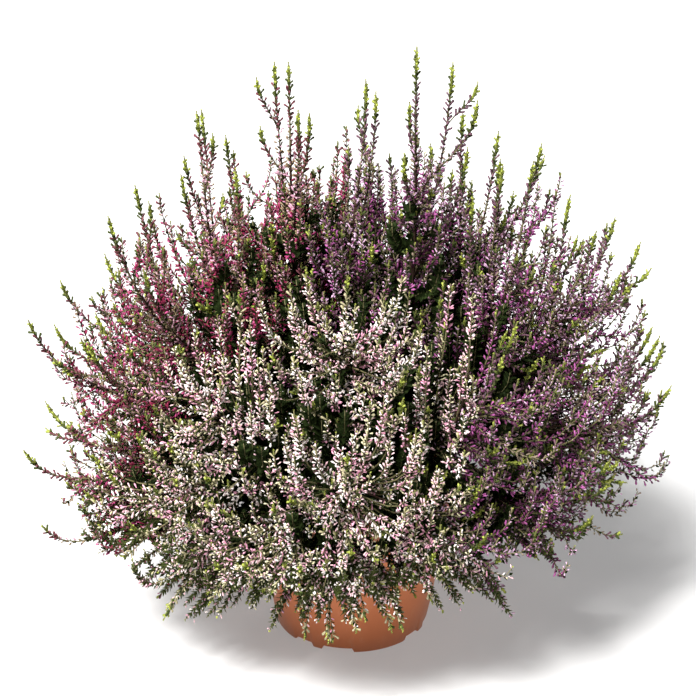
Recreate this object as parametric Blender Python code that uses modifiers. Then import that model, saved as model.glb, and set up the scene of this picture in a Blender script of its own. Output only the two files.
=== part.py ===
"""A potted heather: three bud heathers of different colours grown together in one plastic nursery pot.

Metres, +Z up. The origin is on the ground at the centre of the pot, and -Y is the side that is looked at.
"""

import math
import random

import bmesh
import bpy
import numpy as np

MM = 0.001

# The pot: a 12 cm nursery pot of thin plastic, with a collar and a ring of wide and narrow feet
POT_HEIGHT = 95 * MM
COLLAR_RADIUS = 60 * MM
COLLAR_HEIGHT = 9 * MM
WALL_TOP_RADIUS = 58.2 * MM
FOOT_RADIUS = 43.5 * MM
POT_WALL = 1.4 * MM
EDGE_ROUNDING = 0.5 * MM
RECESS_HEIGHT = 3.0 * MM
FOOT_WIDTH = 2.4 * MM
NOTCH_HEIGHT = 2.6 * MM
TURN_STEPS = 40

# Each quarter of the ring has a wide foot and a narrow foot, so two notches of these centres and widths
QUARTERS = 4
NOTCHES = ((-101.0, 17.5 * MM), (-38.5, 12.0 * MM))
DRAIN_HOLES = 8
DRAIN_CIRCLE = 31 * MM
DRAIN_RADIUS = 3 * MM
DRAIN_SIDES = 12

# The compost fills the pot to a little under the rim, a seat's gap clear of the plastic
SEAT_GAP = 0.3 * MM
COMPOST_TOP = 84 * MM
COMPOST_INSET = POT_WALL + SEAT_GAP + 0.4 * MM

# Each plant stands this far from the middle of the pot, on a short trunk hidden by its shoots
PLANT_CIRCLE = 23 * MM
TRUNK_HEIGHT = 34 * MM
TRUNK_LEAN = 9.0
TRUNK_ROUNDNESS = 4
TRUNK_RADII = ((0.0, 5.6 * MM), (0.08, 4.5 * MM), (0.3, 3.7 * MM), (0.7, 3.1 * MM), (1.0, 2.6 * MM))

# A bough leaves its trunk as low as it can and still clear the rim and the boughs under it
FORK_BOTTOM = 7 * MM
FORK_STEP = 0.5 * MM
START_LEAN = 38.0
START_SHARE = 0.24
START_STEEPEST = 50.0
BOUGH_SHARE = 0.28
BOUGH_LONGEST = 52 * MM
BOUGH_FOOT_RADIUS = 1.6 * MM
BOUGH_TIP_RADIUS = 1.1 * MM
BOUGH_STEP = 17 * MM
BOUGH_LEAST_STEPS = 3

# Upright shoots curl up to a share of their lean at the tip, and the skirt's shoots hang down
UPTURN_SHARE = 0.32
DROOP_FROM = 92.0
DROOP_MORE = 36.0
DROOP_STEEPEST = 170.0
START_PULL = 0.40
TIP_PULL = 0.38

# A shoot is a slim three-sided core, toothed where its buds and side sprays stand out
TOOTH_STEP = 12.5 * MM
TOOTH_RADIUS = 6.4 * MM
CORE_RADIUS = 3.0 * MM
ROOT_RADIUS = 1.1 * MM
STEM_LENGTH = 12 * MM
STEM_RADIUS = 1.5 * MM
TIP_RADIUS = 0.7 * MM
TIP_LENGTH = 20 * MM
TIP_TOOTH_SHARE = 0.55
TOOTH_TWIST = 37.0
LEAST_TEETH = 4

# Shoots that branch off the leader of each mass, kept to the space round that leader
SHOOTS_PER_MASS = 7
TURN_JITTER = 15.0
SPREAD_WIDEST = 23.0
SPREAD_LEAST = 6.0
FORK_SHARE = (0.03, 0.30)
FORK_TURN = 0.65
NAMED_FORK = 0.6
NAMED_TRIES = 20
DROOP_MARGIN = 10 * MM
REACH_SHARE = (0.66, 1.0)
REACH_BLEND = 3
REACH_SOFTENING = 1.0
SPACE_GAP = 0.4 * MM
TRIES = 30
CROWN_HALF_WIDTH = 179 * MM
CROWN_HALF_DEPTH = 152 * MM

# A plant's place round the pot, how low its side shoots may hang, its limbs, and the tips of the side shoots
# that stand out of its outline. Each row is one tip as seen from the trunk's foot: heading in degrees
# counter-clockwise from +X, lean from the vertical, and reach in mm
PLANTS = {
    "purple": {
        "place": 25.0,
        "lowest": 77 * MM,
        "colour": (0.30, 0.10, 0.26),
        "limbs": (
            (-57, 5, 270),
            (-142, 4, 247),
            (-20, 21, 222),
            (-5, 36, 206),
            (-15, 63, 177),
            (-38, 80, 140),
            (54, 31, 205),
            (36, 56, 170),
            (83, 66, 155),
        ),
        "tips": (
            (178, 2, 235),
            (31, 9, 247),
            (-45, 14, 256),
            (-83, 13, 225),
            (-10, 17, 207),
            (0, 29, 200),
            (-15, 34, 202),
            (4, 44, 198),
            (-8, 56, 179),
            (-26, 72, 145),
        ),
    },
    "magenta": {
        "place": 147.0,
        "lowest": 74 * MM,
        "colour": (0.33, 0.05, 0.15),
        "limbs": (
            (-142, 4, 256),
            (-158, 16, 243),
            (-162, 33, 212),
            (-164, 53, 201),
            (-162, 75, 174),
            (-158, 89, 163),
            (119, 33, 200),
            (137, 64, 156),
            (100, 61, 155),
        ),
        "tips": (
            (149, 6, 247),
            (-95, 8, 238),
            (-134, 16, 217),
            (174, 22, 197),
            (-166, 27, 202),
            (176, 41, 178),
            (-171, 72, 148),
            (-166, 52, 167),
        ),
    },
    "pink": {
        "place": -107.0,
        "lowest": 96 * MM,
        "colour": (0.72, 0.52, 0.55),
        "limbs": (
            (-86, 20, 184),
            (-142, 38, 170),
            (-38, 40, 168),
            (-88, 50, 158),
            (-152, 67, 150),
            (-141, 100, 122),
            (-112, 74, 135),
            (-54, 71, 138),
            (-94, 103, 102),
        ),
        "tips": (
            (-143, 104, 123),
            (-130, 97, 110),
            (-115, 90, 97),
            (-103, 113, 92),
            (-94, 113, 93),
            (-82, 98, 100),
            (-71, 110, 92),
            (-60, 96, 100),
        ),
    },
}

POT_COLOUR = (0.42, 0.15, 0.07)
COMPOST_COLOUR = (0.05, 0.03, 0.02)
BARK_COLOUR = (0.16, 0.10, 0.07)

GOLDEN_TURN = 137.508
CURVE_SAMPLES = 48
SPACE_STEP = 3 * MM
WELD = 0.01 * MM


def wall_radius(height):
    """Outer radius of the pot's wall under the collar."""
    share = height / (POT_HEIGHT - COLLAR_HEIGHT)
    return FOOT_RADIUS + (WALL_TOP_RADIUS - FOOT_RADIUS) * share


def way_of(heading, lean):
    """Unit vector at a heading from +X and a lean from the vertical, in degrees."""
    heading, lean = math.radians(heading), math.radians(lean)
    level = math.sin(lean)
    return np.array((level * math.cos(heading), level * math.sin(heading), math.cos(lean)))


def heading_and_lean(way):
    """The heading and lean of a direction, in degrees."""
    lean = math.acos(way[2] / np.linalg.norm(way))
    return math.degrees(math.atan2(way[1], way[0])), math.degrees(lean)


def tip_way(heading, lean):
    """Direction that a shoot's tip points in: curled up, or hanging on the skirt."""
    if lean < DROOP_FROM:
        return way_of(heading, lean * UPTURN_SHARE)
    return way_of(heading, min(lean + DROOP_MORE, DROOP_STEEPEST))


class Path:
    """A smooth limb or shoot, read by the length run along it."""

    def __init__(self, start, start_direction, tip, tip_direction):
        chord = np.linalg.norm(tip - start)
        after = start + start_direction * chord * START_PULL
        before = tip - tip_direction * chord * TIP_PULL
        share = np.linspace(0, 1, CURVE_SAMPLES)[:, None]
        rest = 1 - share
        self.points = (
            rest**3 * start + 3 * rest**2 * share * after + 3 * rest * share**2 * before + share**3 * tip
        )
        steps = np.linalg.norm(np.diff(self.points, axis=0), axis=1)
        self.lengths = np.concatenate(((0.0,), np.cumsum(steps)))
        self.length = self.lengths[-1]

    def at(self, run):
        """Points at one or more lengths along the path."""
        return np.stack([np.interp(run, self.lengths, self.points[:, axis]) for axis in range(3)], axis=-1)

    def way(self, run):
        """Direction of the path at a length along it."""
        step = self.length / CURVE_SAMPLES
        ahead = self.at(min(run + step, self.length)) - self.at(max(run - step, 0.0))
        return ahead / np.linalg.norm(ahead)


def plant_foot(place):
    """Where a plant's trunk meets the compost."""
    return way_of(place, 90.0) * PLANT_CIRCLE + np.array((0.0, 0.0, COMPOST_TOP))


def trunk_at(place, height):
    """The middle of a trunk at a height over the compost: upright at its flare, then leaning out."""
    leaning = max(height - TRUNK_RADII[1][0] * TRUNK_HEIGHT, 0.0)
    lean = way_of(place, 90.0) * math.tan(math.radians(TRUNK_LEAN)) * leaning
    return plant_foot(place) + np.array((0.0, 0.0, height)) + lean


def limb_path(place, limb, height):
    """Path of one limb that forks at a height: its bough, and on it the leading shoot of its mass."""
    heading, lean, reach = limb
    tip = plant_foot(place) + way_of(heading, lean) * reach * MM
    if height > TRUNK_HEIGHT:
        return Path(trunk_at(place, height), way_of(place, TRUNK_LEAN), tip, tip_way(heading, lean))
    start_lean = min(START_LEAN + lean * START_SHARE, START_STEEPEST)
    clear = np.interp(height / TRUNK_HEIGHT, *zip(*TRUNK_RADII)) + SEAT_GAP
    clear += BOUGH_FOOT_RADIUS * math.cos(math.radians(start_lean))
    start = trunk_at(place, height) + way_of(heading, 90.0) * clear
    return Path(start, way_of(heading, start_lean), tip, tip_way(heading, lean))


def bough_length(path):
    """How much of a limb is bare bough before its mass begins."""
    return min(path.length * BOUGH_SHARE, BOUGH_LONGEST)


def limb_balls(path):
    """Points along a limb, and the radius that it fills at each."""
    lengths = np.arange(0, path.length, SPACE_STEP)
    bare = lengths < bough_length(path) + STEM_LENGTH
    return path.at(lengths), np.where(bare, BOUGH_FOOT_RADIUS, TOOTH_RADIUS)


def place_limbs():
    """Paths of all the limbs, each forked at the lowest height that keeps it clear of the others."""
    rows = [(plant, index) for plant in PLANTS for index in range(len(PLANTS[plant]["limbs"]))]
    rows.sort(key=lambda row: PLANTS[row[0]]["limbs"][row[1]][1], reverse=True)
    paths, taken = {}, []
    for plant, index in rows:
        heights = np.arange(FORK_BOTTOM, TRUNK_HEIGHT, FORK_STEP)
        if index == 0:
            heights = (TRUNK_HEIGHT + SEAT_GAP * 2,)
        for height in heights:
            path = limb_path(PLANTS[plant]["place"], PLANTS[plant]["limbs"][index], height)
            points, radii = limb_balls(path)
            free = all(
                np.all(gaps(points, radii, others, other_radii) > SPACE_GAP) for others, other_radii in taken
            )
            if free and clear_of_pot(points, radii):
                break
        paths[plant, index] = path
        taken.append((points, radii))
    return paths


def clear_of_pot(points, radii):
    """Whether every ball of a shoot is clear of the pot and the compost."""
    flat = np.hypot(points[:, 0], points[:, 1])
    low = points[:, 2] - radii - SPACE_GAP
    top = points[:, 2] + radii + SPACE_GAP
    over = low > POT_HEIGHT
    inside = (flat + radii + SPACE_GAP < wall_radius(COMPOST_TOP) - POT_WALL) & (low > COMPOST_TOP)
    outer = np.where(top < POT_HEIGHT - COLLAR_HEIGHT, wall_radius(top), COLLAR_RADIUS)
    beside = (flat - radii - SPACE_GAP > outer) & (low > 0)
    return bool(np.all(over | inside | beside))


def distances(points, others):
    """Distance of each point to each of the others."""
    return np.linalg.norm(points[:, None, :] - others[None, :, :], axis=2)


def gaps(points, radii, others, other_radii):
    """Gap between each ball of one limb and each ball of another."""
    return distances(points, others) - radii[:, None] - other_radii[None, :]


def crown_reach(way, limbs):
    """How far the crown reaches in a direction from a plant's foot: its limbs' reaches, blended."""
    weights, reaches = [], []
    for heading, lean, reach in limbs:
        angle = math.acos(min(float(np.dot(way, way_of(heading, lean))), 1.0))
        weights.append(1 / (angle + math.radians(REACH_SOFTENING)) ** REACH_BLEND)
        reaches.append(reach * MM)
    return float(np.average(reaches, weights=weights))


def in_space(points, radii, own, others, lowest):
    """Whether a shoot keeps to the space nearer to its own leader than to any other limb."""
    room = distances(points, others).min(axis=1) - distances(points, own).min(axis=1)
    wide = np.abs(points[:, 0]) + radii > CROWN_HALF_WIDTH
    deep = np.abs(points[:, 1]) + radii > CROWN_HALF_DEPTH
    low = points[:, 2] - radii < lowest
    return bool(np.all(room > 2 * (radii + SPACE_GAP)) and not np.any(wide | deep | low))


def turned(way, spread, turn):
    """A direction tilted off another by a spread, at a turn about it, in degrees."""
    side = np.cross(way, (0.0, 1.0, 0.0))
    side /= np.linalg.norm(side)
    other = np.cross(way, side)
    spread, turn = math.radians(spread), math.radians(turn)
    across = side * math.cos(turn) + other * math.sin(turn)
    return way * math.cos(spread) + across * math.sin(spread)


def shoot_rings(path, start=0.0, root_radius=ROOT_RADIUS):
    """Places, radii and twists of the rings of a toothed shoot from a length on its path to the tip."""
    run = path.length - start
    count = max(LEAST_TEETH, round((run - STEM_LENGTH) / TOOTH_STEP))
    lengths = start + np.concatenate(((0.0,), np.linspace(STEM_LENGTH, run, count + 1)))
    toothed = np.arange(count + 2) % 2 == count % 2
    slim = np.where(path.length - lengths < TIP_LENGTH, TIP_TOOTH_SHARE, 1.0)
    radii = np.where(toothed, TOOTH_RADIUS, CORE_RADIUS) * slim
    radii[0], radii[1], radii[-1] = root_radius, STEM_RADIUS, TIP_RADIUS
    twists = np.radians(TOOTH_TWIST) * np.arange(count + 2)
    return path.at(lengths), radii, twists


def collection(name):
    """A new collection in the scene."""
    made = bpy.data.collections.new(name)
    bpy.context.scene.collection.children.link(made)
    return made


def material(name, colour, roughness):
    """A plain Principled material."""
    made = bpy.data.materials.new(name)
    made.use_nodes = True
    shader = made.node_tree.nodes["Principled BSDF"]
    shader.inputs["Base Color"].default_value = (*colour, 1.0)
    shader.inputs["Roughness"].default_value = roughness
    shader.inputs["Metallic"].default_value = 0.0
    return made


def turned_solid(name, profile, home, finish):
    """A solid turned about Z from a profile that runs down its outer side."""
    mesh = bpy.data.meshes.new(name)
    edges = [(i, i + 1) for i in range(len(profile) - 1)]
    mesh.from_pydata([(radius, 0.0, height) for radius, height in profile], edges, [])
    made = bpy.data.objects.new(name, mesh)
    home.objects.link(made)
    screw = made.modifiers.new("turn", "SCREW")
    screw.axis = "Z"
    screw.steps = screw.render_steps = TURN_STEPS
    screw.use_merge_vertices = True
    screw.merge_threshold = WELD
    made.data.materials.append(finish)
    return made


def cut(target, cutters):
    """Cut every object of a collection out of a target."""
    boolean = target.modifiers.new("cut", "BOOLEAN")
    boolean.operation = "DIFFERENCE"
    boolean.operand_type = "COLLECTION"
    boolean.collection = cutters


def as_cutter(made, cutters):
    """Move an object to the cutters' collection and hide it from renders."""
    for home in list(made.users_collection):
        home.objects.unlink(made)
    cutters.objects.link(made)
    made.hide_render = True
    made.display_type = "WIRE"


def make_pot(home, cutters, finish):
    """The pot: a turned wall with a collar and a recessed floor, notched feet and drain holes."""
    floor = RECESS_HEIGHT + POT_WALL
    collar_foot = POT_HEIGHT - COLLAR_HEIGHT
    profile = (
        (0.0, floor),
        (wall_radius(floor) - POT_WALL, floor),
        (WALL_TOP_RADIUS - POT_WALL, collar_foot),
        (WALL_TOP_RADIUS - POT_WALL, POT_HEIGHT - EDGE_ROUNDING),
        (WALL_TOP_RADIUS - POT_WALL + EDGE_ROUNDING, POT_HEIGHT),
        (COLLAR_RADIUS - EDGE_ROUNDING, POT_HEIGHT),
        (COLLAR_RADIUS, POT_HEIGHT - EDGE_ROUNDING),
        (COLLAR_RADIUS - EDGE_ROUNDING, collar_foot),
        (WALL_TOP_RADIUS, collar_foot - EDGE_ROUNDING),
        (FOOT_RADIUS, 0.0),
        (FOOT_RADIUS - FOOT_WIDTH, 0.0),
        (FOOT_RADIUS - FOOT_WIDTH, RECESS_HEIGHT),
        (0.0, RECESS_HEIGHT),
    )
    pot = turned_solid("pot", profile, home, finish)
    for quarter in range(QUARTERS):
        for azimuth, width in NOTCHES:
            heading = azimuth + quarter * 360.0 / QUARTERS
            bpy.ops.mesh.primitive_cube_add(
                size=1.0,
                location=way_of(heading, 90.0) * FOOT_RADIUS,
                rotation=(0.0, 0.0, math.radians(heading)),
                scale=(FOOT_WIDTH * 4, width, NOTCH_HEIGHT * 2),
            )
            as_cutter(bpy.context.object, cutters)
    for hole in range(DRAIN_HOLES):
        heading = (hole + 0.5) * 360.0 / DRAIN_HOLES
        bpy.ops.mesh.primitive_cylinder_add(
            vertices=DRAIN_SIDES,
            radius=DRAIN_RADIUS,
            depth=floor * 3,
            location=way_of(heading, 90.0) * DRAIN_CIRCLE,
        )
        as_cutter(bpy.context.object, cutters)
    cut(pot, cutters)


def make_compost(home, finish):
    """The compost: a plug that fills the pot to its planting height."""
    bottom = RECESS_HEIGHT + POT_WALL + SEAT_GAP
    profile = (
        (0.0, COMPOST_TOP),
        (wall_radius(COMPOST_TOP) - COMPOST_INSET, COMPOST_TOP),
        (wall_radius(bottom) - COMPOST_INSET, bottom),
        (0.0, bottom),
    )
    turned_solid("compost", profile, home, finish)


def tube(name, points, radii, home, roundness=1, profile=None, twists=None):
    """A closed limb along points, round or with the section of a profile curve, made a mesh."""
    curve = bpy.data.curves.new(name, "CURVE")
    curve.dimensions = "3D"
    curve.use_fill_caps = True
    if profile is None:
        curve.bevel_depth = 1.0
        curve.bevel_resolution = roundness
    else:
        curve.bevel_mode = "OBJECT"
        curve.bevel_object = profile
    spline = curve.splines.new("POLY")
    spline.points.add(len(points) - 1)
    for index, point in enumerate(points):
        spline.points[index].co = (*point, 1.0)
        spline.points[index].radius = radii[index]
        spline.points[index].tilt = 0.0 if twists is None else twists[index]
    guide = bpy.data.objects.new(name + "_curve", curve)
    home.objects.link(guide)
    bpy.context.view_layer.update()
    mesh = bpy.data.meshes.new_from_object(guide.evaluated_get(bpy.context.evaluated_depsgraph_get()))
    made = bpy.data.objects.new(name, mesh)
    made.matrix_world = guide.matrix_world
    bpy.data.objects.remove(guide)
    work = bmesh.new()
    work.from_mesh(mesh)
    bmesh.ops.remove_doubles(work, verts=work.verts, dist=WELD)
    bmesh.ops.triangulate(work, faces=work.faces)
    bmesh.ops.recalc_face_normals(work, faces=work.faces)
    work.to_mesh(mesh)
    work.free()
    home.objects.link(made)
    return made


def make_profile(home):
    """The three-sided section of a shoot, as a guide curve of unit radius."""
    curve = bpy.data.curves.new("shoot_profile", "CURVE")
    spline = curve.splines.new("POLY")
    spline.points.add(2)
    for corner in range(3):
        angle = math.radians(90 + corner * 120)
        spline.points[corner].co = (math.cos(angle), math.sin(angle), 0.0, 1.0)
    spline.use_cyclic_u = True
    profile = bpy.data.objects.new("shoot_profile", curve)
    home.objects.link(profile)
    profile.hide_render = True
    profile.display_type = "WIRE"
    return profile


def make_trunk(plant, place, home, finish):
    """A plant's short trunk, cut flat and flared at the compost and tapering to its fork."""
    points = [trunk_at(place, share * TRUNK_HEIGHT) for share, radius in TRUNK_RADII]
    points[0][2] += SEAT_GAP
    radii = [radius for share, radius in TRUNK_RADII]
    trunk = tube("trunk_" + plant, points, radii, home, roundness=TRUNK_ROUNDNESS)
    trunk.data.materials.append(finish)


def make_bough(name, path, home, finish):
    """A bare bough: the first part of a limb, tapering to where its mass begins."""
    length = bough_length(path)
    count = max(BOUGH_LEAST_STEPS, round(length / BOUGH_STEP))
    lengths = np.linspace(0, length, count + 1)
    radii = np.linspace(BOUGH_FOOT_RADIUS, BOUGH_TIP_RADIUS, count + 1)
    made = tube(name, path.at(lengths), radii, home)
    made.data.materials.append(finish)


def forked_path(path, fork, tip, direction):
    """A shoot that leaves a limb at a length along it and ends at a tip."""
    across = (tip - path.at(fork)) / np.linalg.norm(tip - path.at(fork))
    start_way = path.way(fork) * (1 - FORK_TURN) + across * FORK_TURN
    start_way /= np.linalg.norm(start_way)
    return Path(path.at(fork), start_way, tip, direction)


def nearest_limb(way, facts):
    """Which of a plant's limbs points most nearly in a direction."""
    return int(np.argmax([np.dot(way, way_of(*limb[:2])) for limb in facts["limbs"]]))


def lowest_of(index, facts):
    """How low a mass may hang: the plant's limit, or a little under its leader's tip if that hangs lower."""
    heading, lean, reach = facts["limbs"][index]
    tip = plant_foot(facts["place"]) + way_of(heading, lean) * reach * MM
    return min(facts["lowest"], tip[2] - DROOP_MARGIN)


def shoot_fits(shoot, lowest, own, others):
    """Whether a shoot of the solids keeps to its mass's space and clear of the pot."""
    points, radii, twists = shoot_rings(shoot)
    return in_space(points, radii, own, others, lowest) and clear_of_pot(points, radii)


def named_shoots(path, index, facts, own, others):
    """Paths of the shoots to the plant's named tips that point most nearly along this limb."""
    begin = bough_length(path)
    shoots = []
    for heading, lean, reach in facts["tips"]:
        way = way_of(heading, lean)
        if nearest_limb(way, facts) != index:
            continue
        tip = plant_foot(facts["place"]) + way * reach * MM
        lowest = min(lowest_of(index, facts), tip[2] - DROOP_MARGIN)
        for share in np.linspace(FORK_SHARE[0], NAMED_FORK, NAMED_TRIES):
            shoot = forked_path(path, begin + (path.length - begin) * share, tip, tip_way(heading, lean))
            if shoot_fits(shoot, lowest, own, others):
                shoots.append(shoot)
                break
    return shoots


def side_shoots(path, index, facts, own, others, dice):
    """Paths of the shoots that branch off a mass's leader, as wide as its space lets them."""
    heading, lean, reach = facts["limbs"][index]
    foot = plant_foot(facts["place"])
    begin = bough_length(path)
    turn = dice.uniform(0, 360)
    shoots = named_shoots(path, index, facts, own, others)
    for order in range(SHOOTS_PER_MASS - len(shoots)):
        for attempt in range(TRIES):
            spread = SPREAD_WIDEST + (SPREAD_LEAST - SPREAD_WIDEST) * attempt / TRIES
            about = turn + order * GOLDEN_TURN + dice.uniform(-TURN_JITTER, TURN_JITTER)
            way = turned(way_of(heading, lean), spread, about)
            tip = foot + way * crown_reach(way, facts["limbs"]) * dice.uniform(*REACH_SHARE)
            fork = begin + (path.length - begin) * dice.uniform(*FORK_SHARE)
            shoot = forked_path(path, fork, tip, tip_way(*heading_and_lean(way)))
            if shoot_fits(shoot, lowest_of(index, facts), own, others):
                shoots.append(shoot)
                break
    return shoots


def keep_outer_body(mesh):
    """Drop loose scraps, and the walls of any hollow that joining sealed, which fills it."""
    work = bmesh.new()
    work.from_mesh(mesh)
    left = set(work.faces)
    bodies = []
    while left:
        front = [left.pop()]
        body = list(front)
        while front:
            near = {face for edge in front.pop().edges for face in edge.link_faces} & left
            left -= near
            front.extend(near)
            body.extend(near)
        bodies.append(body)
    bodies.sort(key=len)
    for body in bodies[:-1]:
        bmesh.ops.delete(work, geom=body, context="FACES")
    loose = [vertex for vertex in work.verts if not vertex.link_faces]
    bmesh.ops.delete(work, geom=loose, context="VERTS")
    work.to_mesh(mesh)
    work.free()


def make_mass(name, path, shoots, profile, home, finish):
    """One mass of foliage: a leader and its side shoots, fused into one solid."""
    begin = bough_length(path) + SEAT_GAP
    points, radii, twists = shoot_rings(path, begin, BOUGH_TIP_RADIUS)
    leader = tube(name, points, radii, home, profile=profile, twists=twists)
    leader.data.materials.append(finish)
    joined = collection(name + "_shoots")
    for index, shoot in enumerate(shoots):
        points, radii, twists = shoot_rings(shoot)
        tube(f"{name}_shoot_{index}", points, radii, joined, profile=profile, twists=twists)
    union = leader.modifiers.new("join", "BOOLEAN")
    union.operation = "UNION"
    union.operand_type = "COLLECTION"
    union.collection = joined
    bpy.context.view_layer.update()
    fused = bpy.data.meshes.new_from_object(leader.evaluated_get(bpy.context.evaluated_depsgraph_get()))
    keep_outer_body(fused)
    leader.modifiers.clear()
    leader.data = fused
    for shoot in list(joined.objects):
        bpy.data.objects.remove(shoot)
    bpy.data.collections.remove(joined)


def main():
    for old in list(bpy.data.objects):
        bpy.data.objects.remove(old)
    home = collection("potted_heather")
    cutters = collection("cutters")
    make_pot(home, cutters, material("pot_plastic", POT_COLOUR, 0.45))
    make_compost(home, material("compost", COMPOST_COLOUR, 0.95))
    bark = material("bark", BARK_COLOUR, 0.85)
    profile = make_profile(collection("guides"))

    paths = place_limbs()
    spaces = {key: limb_balls(path)[0] for key, path in paths.items()}
    for seed, (plant, facts) in enumerate(PLANTS.items()):
        make_trunk(plant, facts["place"], home, bark)
        foliage = material("foliage_" + plant, facts["colour"], 0.7)
        for index in range(len(facts["limbs"])):
            path = paths[plant, index]
            others = np.concatenate([space for key, space in spaces.items() if key != (plant, index)])
            dice = random.Random(100 * seed + index)
            shoots = side_shoots(path, index, facts, spaces[plant, index], others, dice)
            make_bough(f"bough_{plant}_{index + 1}", path, home, bark)
            make_mass(f"mass_{plant}_{index + 1}", path, shoots, profile, home, foliage)


main()
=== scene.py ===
"""The looks of a potted heather: three bud heathers of different colours in one plastic nursery pot.

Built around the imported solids, in metres, +Z up, with -Y towards the camera. The sections follow the plant
from the pot upwards, and the shoots grow by the same rule and from the same seeds as the solids do.
"""

import math
import random

import bpy
import numpy as np
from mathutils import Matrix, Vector, noise


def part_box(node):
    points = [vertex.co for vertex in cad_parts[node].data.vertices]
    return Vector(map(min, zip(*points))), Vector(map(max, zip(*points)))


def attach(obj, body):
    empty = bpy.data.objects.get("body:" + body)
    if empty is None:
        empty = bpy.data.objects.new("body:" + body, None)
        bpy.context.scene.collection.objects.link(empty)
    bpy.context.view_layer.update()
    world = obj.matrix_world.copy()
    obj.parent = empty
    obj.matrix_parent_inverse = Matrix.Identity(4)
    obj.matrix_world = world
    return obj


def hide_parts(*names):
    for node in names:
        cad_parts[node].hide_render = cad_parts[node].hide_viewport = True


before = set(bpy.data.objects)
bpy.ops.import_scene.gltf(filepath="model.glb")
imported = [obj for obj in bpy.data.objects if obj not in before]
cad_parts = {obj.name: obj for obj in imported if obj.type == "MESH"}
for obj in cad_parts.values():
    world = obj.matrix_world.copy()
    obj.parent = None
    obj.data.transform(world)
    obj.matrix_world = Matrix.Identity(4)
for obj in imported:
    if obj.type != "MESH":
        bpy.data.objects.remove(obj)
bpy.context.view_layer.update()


# The pot is a thin terracotta-coloured nursery pot, injection moulded in one piece with a collar under the
# rim for lifting, a recessed floor with drain holes, and a ring of wide and narrow feet that lets water out.

MM = 0.001
POT_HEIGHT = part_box("pot")[1].z
COLLAR_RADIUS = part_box("pot")[1].x
COLLAR_HEIGHT = 9 * MM
COLLAR_FOOT = POT_HEIGHT - COLLAR_HEIGHT
WALL_TOP_RADIUS = COLLAR_RADIUS - 1.8 * MM
FOOT_RADIUS = 43.5 * MM
POT_WALL = 1.4 * MM
RECESS_HEIGHT = 3.0 * MM
POT_FLOOR = RECESS_HEIGHT + POT_WALL
FOOT_WIDTH = 2.4 * MM
NOTCH_HEIGHT = 2.6 * MM
NOTCH_EDGE = 0.8 * MM
QUARTERS = 4
NOTCHES = ((-101.0, 17.5 * MM), (-38.5, 12.0 * MM))
RIM_ROUNDING = 0.6 * MM
COLLAR_ROUNDING = 0.9 * MM
FOOT_ROUNDING = 0.3 * MM
ARC_STEPS = 4
POT_STEPS = 216
WALL_BANDS = 8
DRAIN_HOLES = 8
DRAIN_CIRCLE = 31 * MM
DRAIN_RADIUS = 3 * MM
DRAIN_SIDES = 32
SHARP_EDGE = 40.0
CLAY_DARK = (0.47, 0.135, 0.050)
CLAY_LIGHT = (0.62, 0.200, 0.078)
SCUFF_COLOUR = (0.66, 0.34, 0.20)
SCUFF_SHARE = 0.22
SCUFF_EDGES = (0.58, 0.74)
SCUFF_SCALE = 150.0
SCUFF_STRETCH = (1.0, 1.0, 0.5)
SCUFF_DULLNESS = 0.16
FLOW_SCALE = 34.0
FLOW_STRETCH = (1.0, 1.0, 0.18)
FLOW_DULLNESS = 0.10
GRAIN_SCALE = 1900.0
GRAIN_SHARE = 0.5
PLASTIC_SHINE = 0.3
PLASTIC_ROUGHNESS = 0.36
PLASTIC_RELIEF = 0.06 * MM


class Wire:
    """A number inside a material. A sum on it adds a Math node."""

    def __init__(self, finish, socket):
        self.finish = finish
        self.socket = socket

    def math(self, operation, first, second):
        return self.finish.node("ShaderNodeMath", {"operation": operation}, {0: first, 1: second})

    def __add__(self, other):
        return self.math("ADD", self, other)

    def __radd__(self, other):
        return self.math("ADD", other, self)

    def __rsub__(self, other):
        return self.math("SUBTRACT", other, self)

    def __mul__(self, other):
        return self.math("MULTIPLY", self, other)


class Finish:
    """A material made of nodes round one Principled shader."""

    def __init__(self, name, constants):
        self.material = bpy.data.materials.new(name)
        self.material.use_nodes = True
        self.tree = self.material.node_tree
        self.shader = self.tree.nodes["Principled BSDF"]
        self.plug(self.shader, constants)

    def plug(self, made, sockets):
        """Give a node's sockets their values or links."""
        for key, value in sockets.items():
            if isinstance(value, Wire):
                self.tree.links.new(value.socket, made.inputs[key])
            else:
                made.inputs[key].default_value = value

    def node(self, kind, settings, sockets, output=0):
        """A node of one kind, with its settings made first, as a wire from one of its outputs."""
        made = self.tree.nodes.new(kind)
        for key, value in settings.items():
            setattr(made, key, value)
        self.plug(made, sockets)
        return Wire(self, made.outputs[output])

    def place(self):
        """The place of a point in the row frame."""
        return self.node("ShaderNodeTexCoord", {}, {}, "Object")

    def speckle(self, scale, detail=3.0, roughness=0.6, stretch=(1.0, 1.0, 1.0)):
        """Soft noise from 0 to 1, of a scale per metre, stretched along the axes."""
        place = self.node("ShaderNodeVectorMath", {"operation": "MULTIPLY"}, {0: self.place(), 1: stretch})
        return self.node(
            "ShaderNodeTexNoise",
            {"noise_dimensions": "3D"},
            {"Vector": place, "Scale": scale, "Detail": detail, "Roughness": roughness},
        )

    def spread(self, value, low, high):
        """A value stretched so that low becomes 0 and high becomes 1."""
        sockets = {"Value": value, "From Min": low, "From Max": high}
        return self.node("ShaderNodeMapRange", {"clamp": True}, sockets)

    def blend(self, share, first, second):
        """A colour between two colours."""
        return self.node(
            "ShaderNodeMix",
            {"data_type": "RGBA"},
            {"Factor": share, 6: as_colour(first), 7: as_colour(second)},
            2,
        )

    def relief(self, height, depth):
        """Small bumps of a real depth under the light."""
        bump = self.node("ShaderNodeBump", {}, {"Height": height, "Distance": depth})
        self.plug(self.shader, {"Normal": bump})


def as_colour(value):
    """A colour with its alpha, or a wire as it is."""
    return value if isinstance(value, Wire) else (*value, 1.0)


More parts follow.
